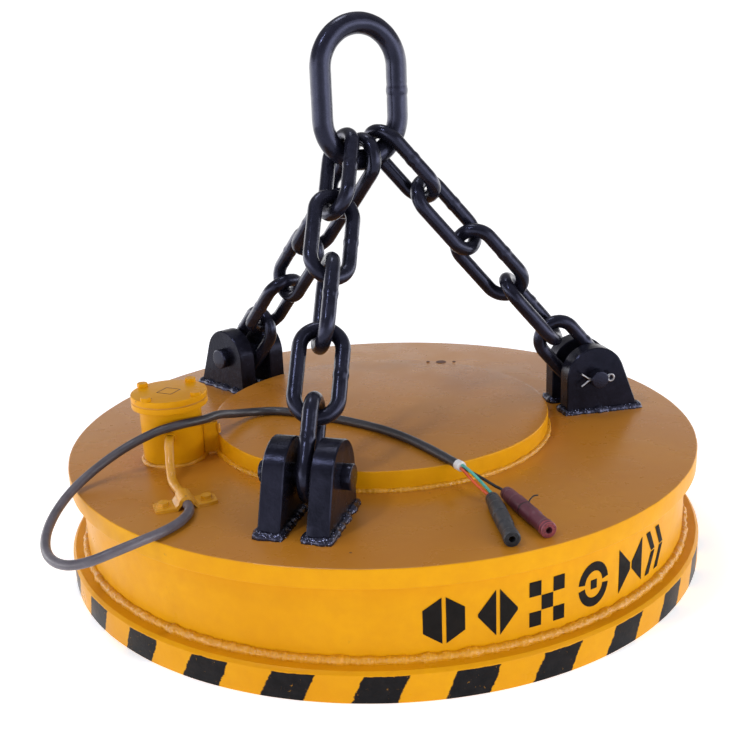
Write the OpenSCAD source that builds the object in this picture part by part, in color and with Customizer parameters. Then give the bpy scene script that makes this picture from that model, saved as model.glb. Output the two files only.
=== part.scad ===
// Round lifting electromagnet with a three-leg chain sling.
// Millimetres, +Z up, origin on the lifting face at the magnet's axis.

/* [Magnet body] */
// Diameter of the top plate
plate_d = 900; // [860:10:940]
// Thickness of the top plate
plate_t = 25; // [20:1:30]
// Height of the magnet body, lifting face to top of plate
body_h = 164; // [150:1:180]
// Outside diameter of the cylindrical outer pole
shell_d = 870; // [850:2:880]
// Wall of the cylindrical outer pole
shell_t = 30; // [20:1:35]
// Outside diameter of the outer pole shoe
shoe_d = 915; // [900:1:930]
// Height of the outer pole shoe
shoe_h = 40; // [35:1:50]
// Inside diameter of the outer pole shoe
shoe_inner_d = 800; // [790:2:808]
// Diameter of the inner pole core
core_d = 300; // [280:2:320]
// Diameter of the inner pole shoe
inner_shoe_d = 340; // [330:2:360]
// Thickness of the inner pole shoe
inner_shoe_t = 30; // [26:1:32]
// Thickness of the non-magnetic coil protection plate
protection_t = 12; // [8:1:16]
// Diameter of the raised disc in the middle of the top plate
boss_d = 488; // [440:2:500]
// Height of the raised disc
boss_h = 28; // [20:1:32]

/* [Lifting lugs] */
// Directions of the three lugs round the axis, degrees
lug_az = [-106, 12, 134];
// Distance from the axis to each lug pin
pin_r = 320; // [310:1:330]
// Height of the lug pin over the top plate
pin_z = 55; // [52:1:60]
// Thickness of one ear plate
ear_t = 28; // [24:1:30]
// Gap between the two ear plates of a lug
ear_gap = 32; // [30:1:36]
// Radius of the rounded top of an ear plate
ear_round = 45; // [40:1:48]
// Reach of the ear's foot from the pin towards the rim
ear_foot = 69; // [60:1:72]
// Diameter of the lug pin
pin_d = 26; // [22:1:28]

/* [Chain] */
// Wire diameter of the chain
wire_d = 20; // [18:0.5:21]
// Inside length of a chain link
link_in_l = 100; // [99:0.5:103]
// Inside width of a chain link
link_in_w = 35; // [34:0.5:38]
// Wire diameter of the master link
master_wire = 29; // [26:0.5:30]
// Inside length of the master link
master_in_l = 150; // [140:1:160]
// Inside width of the master link
master_in_w = 86; // [84:1:92]
// Turn of the master link about the vertical, degrees
master_yaw = 28; // [24:1:32]
// Middle of the master link, from the top plate's centre
master_at = [-12, 2, 478];

/* [Terminal box] */
// Outside diameter of the terminal box
box_d = 84; // [76:1:86]
// Diameter of the box's flange and cover
cover_d = 104; // [100:1:106]
// Height of the closed terminal box
box_h = 96; // [90:1:100]

/* [Cable] */
// Diameter of the rubber cable
cable_d = 12; // [10:0.5:12]
// Diameter of a connector body
connector_d = 20; // [16:0.5:20]
// Length of a connector body
connector_l = 115; // [110:1:118]
// Diameter of the hole in a connector
socket_d = 8; // [6:0.5:9]

/* [Hidden] */
$fn = 96;

// Paint and metal colours
yellow = [0.93, 0.66, 0.10];
black_enamel = [0.10, 0.10, 0.13];
bare_steel = [0.55, 0.55, 0.56];
copper = [0.72, 0.42, 0.25];

// Body levels, measured up from the lifting face
plate_z = body_h - plate_t;
shoe_chamfer = 4;
coil_floor = inner_shoe_t;
ring_t = 5;
mid_ring_t = 4;
coil_h = (plate_z - coil_floor - 2 * ring_t - mid_ring_t) / 2;
sleeve_t = 6;
coil_in_r = core_d / 2 + sleeve_t;
coil_out_r = shell_d / 2 - shell_t - 7;
shell_weld = 11;
plate_weld = 6;
boss_weld = 8;

// Bolts that hold the inner pole shoe: countersunk, with hexagon sockets
pole_bolts = 6;
pole_bolt_r = 105;
pole_bolt_d = 20;
pole_bolt_head = 40;
pole_bolt_l = 70;
pole_bolt_key = 17;

// Lug details
lug_weld = 9;
ear_bore_play = 0.1;
pin_head_d = 32;
pin_head_l = 12;
pin_tail_l = 17;
cotter_d = 6;
cotter_out = 9;

// Chain details
link_count = 5;
weld_bump = 0.8;
weld_bump_w = 7;
// Places along the bow of the master link where the legs hook in, degrees
hook_angle = [-36, 41, -1];
// Turn of each link about its leg, from the lug up, past its usual quarter turns
link_twist = [[6, 17, 28, 39, 50], [-6, -19, -33, -46, -60], [0, -2, -4, -6, -8]];

// Terminal box details
box_at = [-290, -93];
box_wall = 6;
flange_t = 8;
gasket_t = 2;
gasket_back = 0.4;
cover_t = 8;
cover_bolt_r = 47;
cover_bolt_turn = -30;
bolt_m = 8;
bolt_af = 13;
bolt_head = 5.5;
lead_hole_d = 36;
block_z = 24;
block_t = 12;
stud_gap = 26;
stud_d = 8;
duct_w = 24;
duct_h = 46;

// Cable entry and saddle clamp on the top plate
gland_z = 43;
gland_d = 16;
gland_l = 5;
gland_turn = -84;
clamp_at = [-248, -262];
clamp_turn = 20;
clamp_l = 78;
clamp_w = 30;
clamp_t = 4;
clamp_bolt_x = 27;
cable_z = 7;

// Where each cable piece runs: x and y from the axis, z over the top plate
lead_route = [
    [-286.9, -122.8, 43], [-284.9, -141.3, 43], [-283.9, -151, 42.5], [-282.8, -161, 38.5],
    [-281, -171, 30], [-279.5, -181, 20], [-277, -192, 11.5], [-273, -205, 7.5],
    [-267, -219, 7], [-260, -234, 7], [-253.1, -247.9, 7], [-242.9, -276.1, 7]
];
cable_route = [
    [-242.9, -276.1, 7], [-237.8, -290.2, 7], [-238.5, -309, 7], [-246, -331, 7],
    [-261, -353, 7], [-282, -375, 7], [-308, -391, 3], [-336, -397, -5], [-362, -390, -12],
    [-384, -371, -16], [-401, -343, -17], [-411, -309, -14], [-413, -274, -8],
    [-408, -241, 0], [-398, -210, 8], [-381, -183, 18], [-357, -162, 31], [-328, -150, 45],
    [-296, -146, 58], [-265, -137, 63], [-243, -112, 59], [-227, -80, 54], [-208, -46, 43],
    [-186, -22, 36], [-157, -15, 34], [-127, -24, 34], [-95, -41, 34], [-62, -60, 34],
    [-30, -83, 34], [2, -110, 34], [32, -144, 34], [59, -184, 34], [79, -218, 34],
    [95, -247, 34]
];
red_route = [
    [96.9, -255.1, 32.7], [99.8, -260.4, 32.2], [107, -270, 26], [116, -279, 18.5],
    [124, -285, 12.5], [127.9, -289.7, 10], [128.4, -295.7, 10]
];
green_route = [
    [98.9, -254, 36.6], [101.8, -259.3, 36.2], [110, -269, 31.5], [119, -277, 24],
    [127, -282.5, 16], [132.9, -288.8, 10.4], [133.5, -295.2, 10]
];
black_route = [
    [100.8, -252.9, 32.7], [103.7, -258.2, 32.2], [113, -264, 28.5], [125, -268, 22],
    [137, -270.5, 14.5], [144.5, -272, 10.6], [147.6, -275.9, 10], [149.5, -281.6, 10]
];
core_wire_d = 4;
sleeve_l = 8;

// Ends of the two connectors: x and y of the socket face, and the way it points
black_tip = [141, -410];
black_turn = -85;
red_tip = [185, -391];
red_turn = -72;

// Vector helpers
function unit(v) = v / norm(v);
function spin(v, axis, a) = v * cos(a) + cross(axis, v) * sin(a) + axis * (axis * v) * (1 - cos(a));

// The three legs: pin, hook point on the master link and the line between them
function radial(k) = [cos(lug_az[k]), sin(lug_az[k]), 0];
function tangent(k) = [-sin(lug_az[k]), cos(lug_az[k]), 0];
function pin_at(k) = radial(k) * pin_r + [0, 0, pin_z];
bow_r = (master_in_w + master_wire) / 2;
bow_drop = (master_in_l + master_wire) / 2 - bow_r;
yaw_x = [cos(master_yaw), sin(master_yaw), 0];
function hook_at(k) = master_at + yaw_x * (bow_r * sin(hook_angle[k]))
    - [0, 0, bow_drop + bow_r * cos(hook_angle[k])];
function leg_axis(k) = unit(hook_at(k) - pin_at(k));
function leg_play(k) = (link_count * link_in_l - pin_d / 2 - master_wire / 2
    - norm(hook_at(k) - pin_at(k))) / (link_count + 1);
function link_centre(k, i) = pin_at(k)
    + leg_axis(k) * (link_in_l / 2 - pin_d / 2 - leg_play(k) + i * (link_in_l - leg_play(k)));
function link_normal(k, i) = spin(tangent(k), leg_axis(k), link_twist[k][i] + 90 * (i % 2));

// One ring of points round a route, square to its direction at point i
function route_way(r, i) = unit(r[min(i + 1, len(r) - 1)] - r[max(i - 1, 0)]);
function route_ring(r, i, rad, sides) =
    let (t = route_way(r, i), s = unit(cross(t, [0, 0, 1])), u = cross(s, t))
    [for (j = [0:sides - 1]) r[i] + s * (rad * cos(360 * j / sides)) + u * (rad * sin(360 * j / sides))];

// A round tube along a route
module tube(route, d, sides = 10) {
    n = len(route);
    points = [for (i = [0:n - 1]) each route_ring(route, i, d / 2, sides)];
    walls = [for (i = [0:n - 2], j = [0:sides - 1])
        let (a = i * sides + j, b = i * sides + (j + 1) % sides)
        each [[a, b, b + sides], [a, b + sides, a + sides]]];
    first = [for (j = [sides - 1:-1:0]) j];
    last = [for (j = [0:sides - 1]) (n - 1) * sides + j];
    polyhedron(points = points, faces = concat(walls, [first, last]));
}

// A washer or short pipe standing on its lower face
module ring(outer_r, inner_r, h) {
    difference() {
        cylinder(r = outer_r, h = h);
        translate([0, 0, -1])
            cylinder(r = inner_r, h = h + 2);
    }
}

// A hexagon head bolt with its shank below z = 0
module hex_bolt(m, af, head, shank) {
    cylinder(d = af / cos(30), h = head, $fn = 6);
    translate([0, 0, -shank])
        cylinder(d = m, h = shank + 1);
}

// A weld fillet on the floor, round the axis, outside radius r
module round_fillet(r, size) {
    rotate_extrude()
        polygon([[r, 0], [r + size, 0], [r, size]]);
}

module on_plate() {
    translate([0, 0, body_h])
        children();
}

module on_box() {
    translate([box_at[0], box_at[1], body_h])
        children();
}

// ---- Magnet body ----

module top_plate() {
    color(yellow)
    difference() {
        translate([0, 0, plate_z])
            cylinder(d = plate_d, h = plate_t, $fn = 180);
        translate([box_at[0], box_at[1], plate_z - 1])
            cylinder(d = lead_hole_d, h = plate_t + 2);
        on_plate()
            clamp_bolt_spots()
                translate([0, 0, -14])
                    cylinder(d = bolt_m, h = 15);
    }
}

module outer_pole_shell() {
    color(yellow)
    translate([0, 0, shoe_h])
        ring(shell_d / 2, shell_d / 2 - shell_t, plate_z - shoe_h, $fn = 180);
}

module outer_pole_shoe() {
    color(yellow)
    rotate_extrude($fn = 180)
        polygon([
            [shoe_inner_d / 2, 0],
            [shoe_d / 2, 0],
            [shoe_d / 2, shoe_h - shoe_chamfer],
            [shoe_d / 2 - shoe_chamfer, shoe_h],
            [shoe_inner_d / 2, shoe_h]
        ]);
}

module shell_weld_beads() {
    color(yellow) {
        translate([0, 0, shoe_h])
            round_fillet(shell_d / 2, shell_weld, $fn = 180);
        translate([0, 0, plate_z])
            mirror([0, 0, 1])
                round_fillet(shell_d / 2, plate_weld, $fn = 180);
    }
}

module inner_pole_core() {
    color(bare_steel)
    difference() {
        translate([0, 0, coil_floor])
            cylinder(d = core_d, h = plate_z - coil_floor);
        pole_bolt_spots()
            cylinder(d = pole_bolt_d, h = pole_bolt_l);
    }
}

module pole_bolt_spots() {
    for (i = [0:pole_bolts - 1])
        rotate([0, 0, i * 360 / pole_bolts])
            translate([pole_bolt_r, 0, 0])
                children();
}

module pole_bolt_cone() {
    head_h = (pole_bolt_head - pole_bolt_d) / 2;
    translate([0, 0, 2])
        cylinder(d1 = pole_bolt_head, d2 = pole_bolt_d, h = head_h);
}

module inner_pole_shoe() {
    color(yellow)
    difference() {
        cylinder(d = inner_shoe_d, h = inner_shoe_t);
        pole_bolt_spots() {
            pole_bolt_cone();
            translate([0, 0, -1])
                cylinder(d = pole_bolt_head, h = 3);
            translate([0, 0, -1])
                cylinder(d = pole_bolt_d, h = inner_shoe_t + 2);
        }
    }
}

module inner_pole_bolts() {
    color(bare_steel)
    pole_bolt_spots()
        difference() {
            union() {
                pole_bolt_cone();
                translate([0, 0, 4])
                    cylinder(d = pole_bolt_d, h = pole_bolt_l - 4);
            }
            translate([0, 0, -1])
                cylinder(d = pole_bolt_key / cos(30), h = 10, $fn = 6);
        }
}

module coil_protection_plate() {
    color("dimgray")
    translate([0, 0, coil_floor - protection_t])
        ring(shoe_inner_d / 2, inner_shoe_d / 2, protection_t, $fn = 180);
}

module coil(z) {
    color(copper)
    translate([0, 0, z])
        ring(coil_out_r, coil_in_r, coil_h);
}

module coil_lower() {
    coil(coil_floor + ring_t);
}

module coil_upper() {
    coil(coil_floor + ring_t + coil_h + mid_ring_t);
}

module coil_insulation_rings() {
    color("wheat") {
        translate([0, 0, coil_floor])
            ring(coil_out_r, coil_in_r, ring_t);
        translate([0, 0, coil_floor + ring_t + coil_h])
            ring(coil_out_r, coil_in_r, mid_ring_t);
        difference() {
            translate([0, 0, plate_z - ring_t])
                ring(coil_out_r, coil_in_r, ring_t);
            translate([box_at[0], box_at[1], plate_z - ring_t - 1])
                cylinder(d = lead_hole_d, h = ring_t + 2);
        }
    }
}

module coil_bobbin_sleeve() {
    color("tan")
    translate([0, 0, coil_floor])
        ring(coil_in_r, core_d / 2, plate_z - coil_floor);
}

module centre_boss() {
    color(yellow)
    on_plate()
        cylinder(d = boss_d, h = boss_h, $fn = 180);
}

module boss_weld_bead() {
    color(yellow)
    difference() {
        on_plate()
            round_fillet(boss_d / 2, boss_weld, $fn = 180);
        duct_shape(1);
    }
}

// ---- Lifting lugs ----

// Stands a shape on the plate with the pin above the origin and +X to the rim
module at_lug(k) {
    on_plate()
        rotate([0, 0, lug_az[k]])
            translate([pin_r, 0, 0])
                children();
}

// Side view of an ear: X towards the rim, Y up
module ear_outline() {
    reach = sqrt(ear_foot * ear_foot + pin_z * pin_z);
    a = acos(ear_round / reach) - atan2(pin_z, ear_foot);
    translate([0, pin_z])
        circle(r = ear_round);
    polygon([
        [-ear_round, 0],
        [ear_foot, 0],
        [ear_round * cos(a), pin_z + ear_round * sin(a)],
        [0, pin_z],
        [-ear_round, pin_z]
    ]);
}

module ear_solid(t0, t1) {
    translate([0, t1, 0])
        rotate([90, 0, 0])
            linear_extrude(t1 - t0)
                ear_outline();
}

// One ear plate, side = -1 or 1, bored for the pin
module ear(k, side) {
    inner = ear_gap / 2;
    outer = ear_gap / 2 + ear_t;
    color(black_enamel)
    at_lug(k)
        difference() {
            if (side < 0)
                ear_solid(-outer, -inner);
            else
                ear_solid(inner, outer);
            translate([0, outer + 1, pin_z])
                rotate([90, 0, 0])
                    cylinder(d = pin_d + 2 * ear_bore_play, h = 2 * outer + 2);
        }
}

module front_lug_ear_a() { ear(0, -1); }
module front_lug_ear_b() { ear(0, 1); }
module right_lug_ear_a() { ear(1, -1); }
module right_lug_ear_b() { ear(1, 1); }
module rear_lug_ear_a() { ear(2, -1); }
module rear_lug_ear_b() { ear(2, 1); }

// A weld fillet along X from x0 to x1, rising towards -Y
module bar_fillet(x0, x1) {
    translate([x0, 0, 0])
        rotate([90, 0, 90])
            linear_extrude(x1 - x0)
                polygon([[0, 0], [lug_weld, 0], [0, lug_weld]]);
}

module lug_fillet(side) {
    inner = ear_gap / 2;
    mid = side * (inner + ear_t / 2);
    x_mid = (ear_foot - ear_round) / 2;
    x_half = (ear_foot + ear_round) / 2;
    difference() {
        translate([x_mid, mid, 0]) {
            for (m = [0, 1])
                mirror([0, m, 0])
                    translate([0, ear_t / 2, 0])
                        bar_fillet(-x_half, x_half);
            for (m = [0, 1])
                mirror([m, 0, 0])
                    translate([x_half - 1, 0, 0])
                        rotate([0, 0, -90])
                            bar_fillet(-ear_t / 2, ear_t / 2);
            for (sx = [-1, 1], sy = [-1, 1])
                translate([sx * x_half, sy * ear_t / 2, 0])
                    cylinder(r1 = lug_weld, r2 = 0, h = lug_weld, $fn = 48);
        }
        ear_solid(mid - ear_t / 2, mid + ear_t / 2);
    }
}

module lug_weld_beads() {
    color(black_enamel)
    for (k = [0:2], side = [-1, 1])
        at_lug(k)
            lug_fillet(side);
}

module lug_pin() {
    outer = ear_gap / 2 + ear_t;
    difference() {
        union() {
            translate([0, outer, 0])
                rotate([90, 0, 0])
                    cylinder(d = pin_d, h = 2 * outer + pin_tail_l);
            translate([0, outer + pin_head_l, 0])
                rotate([90, 0, 0])
                    cylinder(d = pin_head_d, h = pin_head_l);
        }
        translate([-pin_d, -outer - cotter_out, 0])
            rotate([0, 90, 0])
                cylinder(d = cotter_d + 0.4, h = 2 * pin_d);
    }
}

module lug_pins() {
    color(black_enamel)
    for (k = [0:2])
        at_lug(k)
            translate([0, 0, pin_z])
                lug_pin();
}

// A split pin: eye on the rim side, two legs opened on the other side
module split_pin() {
    eye_r = 5;
    leg_d = cotter_d / 2;
    open = 32;
    translate([pin_d / 2 + eye_r + 1, 0, 0])
        rotate([90, 0, 0])
            rotate_extrude($fn = 48)
                translate([eye_r, 0])
                    circle(d = leg_d, $fn = 24);
    translate([-pin_d / 2 - 1, 0, 0])
        rotate([0, 90, 0])
            cylinder(d = cotter_d, h = pin_d + 3, $fn = 32);
    for (s = [-1, 1])
        translate([-pin_d / 2 - 0.5, 0, s * leg_d / 2])
            rotate([0, -90 + s * open, 0])
                cylinder(d = leg_d, h = 16, $fn = 24);
}

module split_pins() {
    color("silver")
    for (k = [0:2])
        at_lug(k)
            translate([0, -ear_gap / 2 - ear_t - cotter_out, pin_z])
                split_pin();
}

// ---- Chain ----

// A closed link: long axis X, width Y, with a flash-weld bump on one side
module chain_link(wire, in_l, in_w, bump) {
    r = (in_w + wire) / 2;
    s = (in_l + wire) / 2 - r;
    for (m = [0, 1])
        mirror([m, 0, 0])
            translate([s, 0, 0])
                rotate([0, 0, -90])
                    rotate_extrude(angle = 180, $fn = 64)
                        translate([r, 0])
                            circle(d = wire, $fn = 32);
    for (y = [-r, r])
        translate([-s, y, 0])
            rotate([0, 90, 0])
                cylinder(d = wire, h = 2 * s, $fn = 32);
    translate([-weld_bump_w / 2, r, 0])
        rotate([0, 90, 0])
            cylinder(d = wire + 2 * bump, h = weld_bump_w, $fn = 32);
}

// Puts a shape's X along a, its Z along n and its origin at c
module place(c, a, n) {
    b = cross(n, a);
    multmatrix([
        [a[0], b[0], n[0], c[0]],
        [a[1], b[1], n[1], c[1]],
        [a[2], b[2], n[2], c[2]],
        [0, 0, 0, 1]
    ])
        children();
}

// Link i of leg k, counted from the lug up
module leg_link(k, i) {
    axis = leg_axis(k);
    normal = link_normal(k, i);
    color(black_enamel)
    on_plate()
        place(link_centre(k, i), axis, unit(normal - axis * (axis * normal)))
            chain_link(wire_d, link_in_l, link_in_w, weld_bump);
}

module front_link_1() { leg_link(0, 0); }
module front_link_2() { leg_link(0, 1); }
module front_link_3() { leg_link(0, 2); }
module front_link_4() { leg_link(0, 3); }
module front_link_5() { leg_link(0, 4); }
module right_link_1() { leg_link(1, 0); }
module right_link_2() { leg_link(1, 1); }
module right_link_3() { leg_link(1, 2); }
module right_link_4() { leg_link(1, 3); }
module right_link_5() { leg_link(1, 4); }
module rear_link_1() { leg_link(2, 0); }
module rear_link_2() { leg_link(2, 1); }
module rear_link_3() { leg_link(2, 2); }
module rear_link_4() { leg_link(2, 3); }
module rear_link_5() { leg_link(2, 4); }

module master_link() {
    color(black_enamel)
    on_plate()
        place(master_at, [0, 0, 1], cross([0, 0, 1], yaw_x))
            chain_link(master_wire, master_in_l, master_in_w, 1);
}

// ---- Terminal box ----

module cover_bolt_spots() {
    for (i = [0:3])
        rotate([0, 0, cover_bolt_turn + 90 * i])
            translate([cover_bolt_r, 0, 0])
                children();
}

flange_z = box_h - cover_t - gasket_t - flange_t;

module terminal_box() {
    color(yellow)
    on_box()
        difference() {
            union() {
                cylinder(d = box_d, h = flange_z + 1);
                translate([0, 0, flange_z])
                    cylinder(d = cover_d, h = flange_t);
            }
            translate([0, 0, -1])
                cylinder(d = box_d - 2 * box_wall, h = box_h);
            cover_bolt_spots()
                translate([0, 0, flange_z - 1])
                    cylinder(d = bolt_m, h = flange_t + 2);
            rotate([0, 0, gland_turn])
                translate([0, 0, gland_z])
                    rotate([0, 90, 0])
                        cylinder(d = cable_d, h = box_d);
            duct_hole();
        }
}

// Passage for the coil's earth lead between the box and the duct
module duct_hole() {
    a = atan2(-box_at[1], -box_at[0]);
    rotate([0, 0, a])
        translate([0, 0, duct_h / 2])
            rotate([0, 90, 0])
                cylinder(d = duct_w / 2, h = box_d);
}

module cover_gasket() {
    color("black")
    on_box()
        translate([0, 0, flange_z + flange_t])
            difference() {
                ring(cover_d / 2 - gasket_back, box_d / 2 - box_wall, gasket_t);
                cover_bolt_spots()
                    translate([0, 0, -1])
                        cylinder(d = bolt_m, h = gasket_t + 2);
            }
}

module terminal_box_cover() {
    color(yellow)
    on_box()
        translate([0, 0, box_h - cover_t])
            difference() {
                cylinder(d = cover_d, h = cover_t);
                cover_bolt_spots()
                    translate([0, 0, -1])
                        cylinder(d = bolt_m, h = cover_t + 2);
            }
}

module cover_bolts() {
    color(yellow)
    on_box()
        cover_bolt_spots()
            translate([0, 0, box_h])
                hex_bolt(bolt_m, bolt_af, bolt_head, cover_t + gasket_t + flange_t);
}

module stud_spots() {
    for (s = [-1, 1])
        translate([s * stud_gap / 2, 0, 0])
            children();
}

module terminal_block() {
    color("saddlebrown")
    on_box()
        translate([0, 0, block_z])
            difference() {
                cylinder(d = box_d - 2 * box_wall, h = block_t);
                stud_spots()
                    translate([0, 0, -1])
                        cylinder(d = stud_d, h = block_t + 2);
            }
}

module terminal_studs() {
    color("gold")
    on_box()
        stud_spots() {
            translate([0, 0, block_z - 8])
                cylinder(d = stud_d, h = block_t + 26);
            for (z = [block_z - 6, block_z + block_t])
                translate([0, 0, z])
                    cylinder(d = bolt_af / cos(30), h = 6, $fn = 6);
        }
}

// Two leads from the coil up to the terminal studs
module coil_leads() {
    color(copper)
    translate([box_at[0], box_at[1], plate_z - ring_t])
        for (s = [-1, 1])
            translate([s * 9, 0, 0])
                cylinder(d = stud_d, h = plate_t + ring_t + block_z - 8);
}

module duct_shape(grow) {
    a = atan2(-box_at[1], -box_at[0]);
    r = norm(box_at);
    length = r - boss_d / 2 - box_d / 2 + 12;
    on_plate()
        rotate([0, 0, a + 180])
            translate([boss_d / 2 - grow, -duct_w / 2, 0])
                cube([length + grow, duct_w, duct_h]);
}

module lead_duct() {
    color(yellow)
    difference() {
        duct_shape(0);
        translate([0, 0, body_h - 1])
            cylinder(d = boss_d, h = boss_h + 1, $fn = 180);
        on_box()
            translate([0, 0, -1])
                cylinder(d = box_d, h = box_h);
        on_box()
            duct_hole();
    }
}

// ---- Cable entry, clamp, cable and connectors ----

module cable_gland() {
    color(yellow)
    on_box()
        difference() {
            rotate([0, 0, gland_turn])
                translate([box_d / 2 - 3, 0, gland_z])
                    rotate([0, 90, 0])
                        difference() {
                            cylinder(d = gland_d, h = gland_l + 3);
                            translate([0, 0, -1])
                                cylinder(d = cable_d + 0.2, h = gland_l + 5);
                        }
            cylinder(d = box_d, h = box_h);
        }
}

module at_clamp() {
    on_plate()
        translate([clamp_at[0], clamp_at[1], 0])
            rotate([0, 0, clamp_turn])
                children();
}

module clamp_bolt_spots() {
    translate([clamp_at[0], clamp_at[1], 0])
        rotate([0, 0, clamp_turn])
            for (s = [-1, 1])
                translate([s * clamp_bolt_x, 0, 0])
                    children();
}

// A flat strap with an arch over the cable, bolted down each side
module saddle_clamp() {
    hole = cable_d + 0.6;
    color(yellow)
    at_clamp()
        difference() {
            translate([0, clamp_w / 2, 0])
                rotate([90, 0, 0])
                    linear_extrude(clamp_w)
                        difference() {
                            union() {
                                translate([-clamp_l / 2, 0])
                                    square([clamp_l, clamp_t]);
                                translate([0, cable_z])
                                    circle(d = hole + 2 * clamp_t);
                            }
                            translate([0, cable_z])
                                circle(d = hole);
                            translate([-hole / 2, -clamp_l])
                                square([hole, clamp_l + cable_z]);
                            translate([-clamp_l, -clamp_l])
                                square([2 * clamp_l, clamp_l]);
                        }
            for (s = [-1, 1])
                translate([s * clamp_bolt_x, 0, -1])
                    cylinder(d = bolt_m, h = clamp_t + 2);
        }
}

module clamp_bolts() {
    color(yellow)
    on_plate()
        clamp_bolt_spots()
            translate([0, 0, clamp_t])
                hex_bolt(bolt_m, bolt_af, bolt_head, clamp_t + 12);
}

module clamped_lead() {
    color(yellow)
    on_plate()
        tube(lead_route, cable_d);
}

module free_cable() {
    color([0.28, 0.26, 0.30])
    on_plate()
        tube(cable_route, cable_d);
}

module jacket_sleeve() {
    n = len(cable_route);
    way = route_way(cable_route, n - 1);
    color("white")
    on_plate()
        tube([cable_route[n - 1], cable_route[n - 1] + way * sleeve_l], cable_d + 1, 24);
}

module core_red() {
    color([0.85, 0.25, 0.10])
    on_plate()
        tube(red_route, core_wire_d, 8);
}

module core_green() {
    color([0.25, 0.60, 0.58])
    on_plate()
        tube(green_route, core_wire_d, 8);
}

module core_black() {
    color([0.08, 0.08, 0.10])
    on_plate()
        tube(black_route, core_wire_d, 8);
}

socket_lip = 8;
contact_l = 28;
contact_d = 11;
// Moulded outline: how far inside the full radius, and how far from the socket face
connector_outline = [
    [1, 0], [0, 1.2], [0, 10], [0.8, 12.5], [0.9, 30], [0.1, 34], [0, 58.8], [1.2, 60],
    [1.2, 61.5], [0, 62.7], [0, 84], [0.6, 87], [0.8, 102], [1.4, 104], [1.4, 105.5],
    [1, 107], [1.6, 112.5], [3.2, 115]
];

// A single-pole connector lying on the plate, socket face at the origin
module connector() {
    r = connector_d / 2;
    last = connector_outline[len(connector_outline) - 1];
    stretch = connector_l / last[1];
    rotate([0, -90, 0])
        difference() {
            rotate_extrude($fn = 64)
                polygon(concat(
                    [[0, 0]],
                    [for (p = connector_outline) [r - p[0], p[1] * stretch]],
                    [[0, connector_l]]
                ));
            translate([0, 0, -1])
                cylinder(d = socket_d, h = socket_lip + contact_l + 1);
            translate([0, 0, socket_lip])
                cylinder(d = contact_d, h = contact_l);
        }
}

module at_connector(tip, turn) {
    on_plate()
        translate([tip[0], tip[1], connector_d / 2])
            rotate([0, 0, turn])
                children();
}

module connector_black() {
    color([0.12, 0.12, 0.15])
    at_connector(black_tip, black_turn)
        connector();
}

module connector_red() {
    color([0.45, 0.14, 0.20])
    at_connector(red_tip, red_turn)
        connector();
}

module contact() {
    translate([-socket_lip, 0, 0])
        rotate([0, -90, 0])
            ring(contact_d / 2, socket_d / 2, contact_l);
}

module socket_contacts() {
    color("gold") {
        at_connector(black_tip, black_turn)
            contact();
        at_connector(red_tip, red_turn)
            contact();
    }
}

top_plate();
outer_pole_shell();
outer_pole_shoe();
shell_weld_beads();
inner_pole_core();
inner_pole_shoe();
inner_pole_bolts();
coil_protection_plate();
coil_upper();
coil_lower();
coil_insulation_rings();
coil_bobbin_sleeve();
centre_boss();
boss_weld_bead();
front_lug_ear_a();
front_lug_ear_b();
right_lug_ear_a();
right_lug_ear_b();
rear_lug_ear_a();
rear_lug_ear_b();
lug_weld_beads();
lug_pins();
split_pins();
front_link_1();
front_link_2();
front_link_3();
front_link_4();
front_link_5();
right_link_1();
right_link_2();
right_link_3();
right_link_4();
right_link_5();
rear_link_1();
rear_link_2();
rear_link_3();
rear_link_4();
rear_link_5();
master_link();
terminal_box();
cover_gasket();
terminal_box_cover();
cover_bolts();
terminal_block();
terminal_studs();
coil_leads();
lead_duct();
cable_gland();
saddle_clamp();
clamp_bolts();
clamped_lead();
free_cable();
jacket_sleeve();
core_red();
core_green();
core_black();
connector_black();
connector_red();
socket_contacts();
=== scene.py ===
import math

import bpy
import bmesh
import numpy as np
from mathutils import Matrix, Vector, noise


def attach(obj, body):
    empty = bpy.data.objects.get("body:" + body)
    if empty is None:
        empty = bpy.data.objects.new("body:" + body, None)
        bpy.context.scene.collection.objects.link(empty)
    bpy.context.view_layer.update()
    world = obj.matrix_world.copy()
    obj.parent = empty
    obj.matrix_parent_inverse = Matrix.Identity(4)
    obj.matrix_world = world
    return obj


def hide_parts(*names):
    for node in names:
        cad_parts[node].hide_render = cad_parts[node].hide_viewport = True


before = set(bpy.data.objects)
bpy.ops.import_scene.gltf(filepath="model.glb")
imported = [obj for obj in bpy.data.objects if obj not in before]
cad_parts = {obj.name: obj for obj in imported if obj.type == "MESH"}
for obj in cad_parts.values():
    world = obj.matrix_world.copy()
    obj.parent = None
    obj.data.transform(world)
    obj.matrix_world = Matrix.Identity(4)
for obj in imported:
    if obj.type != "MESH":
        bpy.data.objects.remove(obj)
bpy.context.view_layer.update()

MM = 0.001

# ---------------------------------------------------------------- camera

# solved from the ellipses of the plate and the shoe in the photograph
cam = bpy.data.objects.new("camera", bpy.data.cameras.new("camera"))
bpy.context.scene.collection.objects.link(cam)
cam.data.sensor_width = 36
cam.data.lens = 51.15
cam_right = Vector((0.99928, -0.00749, -0.03721))
cam_up = Vector((0.03774, 0.30038, 0.95307))
cam_back = cam_right.cross(cam_up).normalized()
cam.matrix_world = Matrix((
    (cam_right.x, cam_up.x, cam_back.x, 0.0),
    (cam_right.y, cam_up.y, cam_back.y, -1.4845),
    (cam_right.z, cam_up.z, cam_back.z, 0.710),
    (0, 0, 0, 1),
))
bpy.context.scene.camera = cam
bpy.context.scene.view_settings.view_transform = "Standard"

# ---------------------------------------------------------------- node materials


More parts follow.
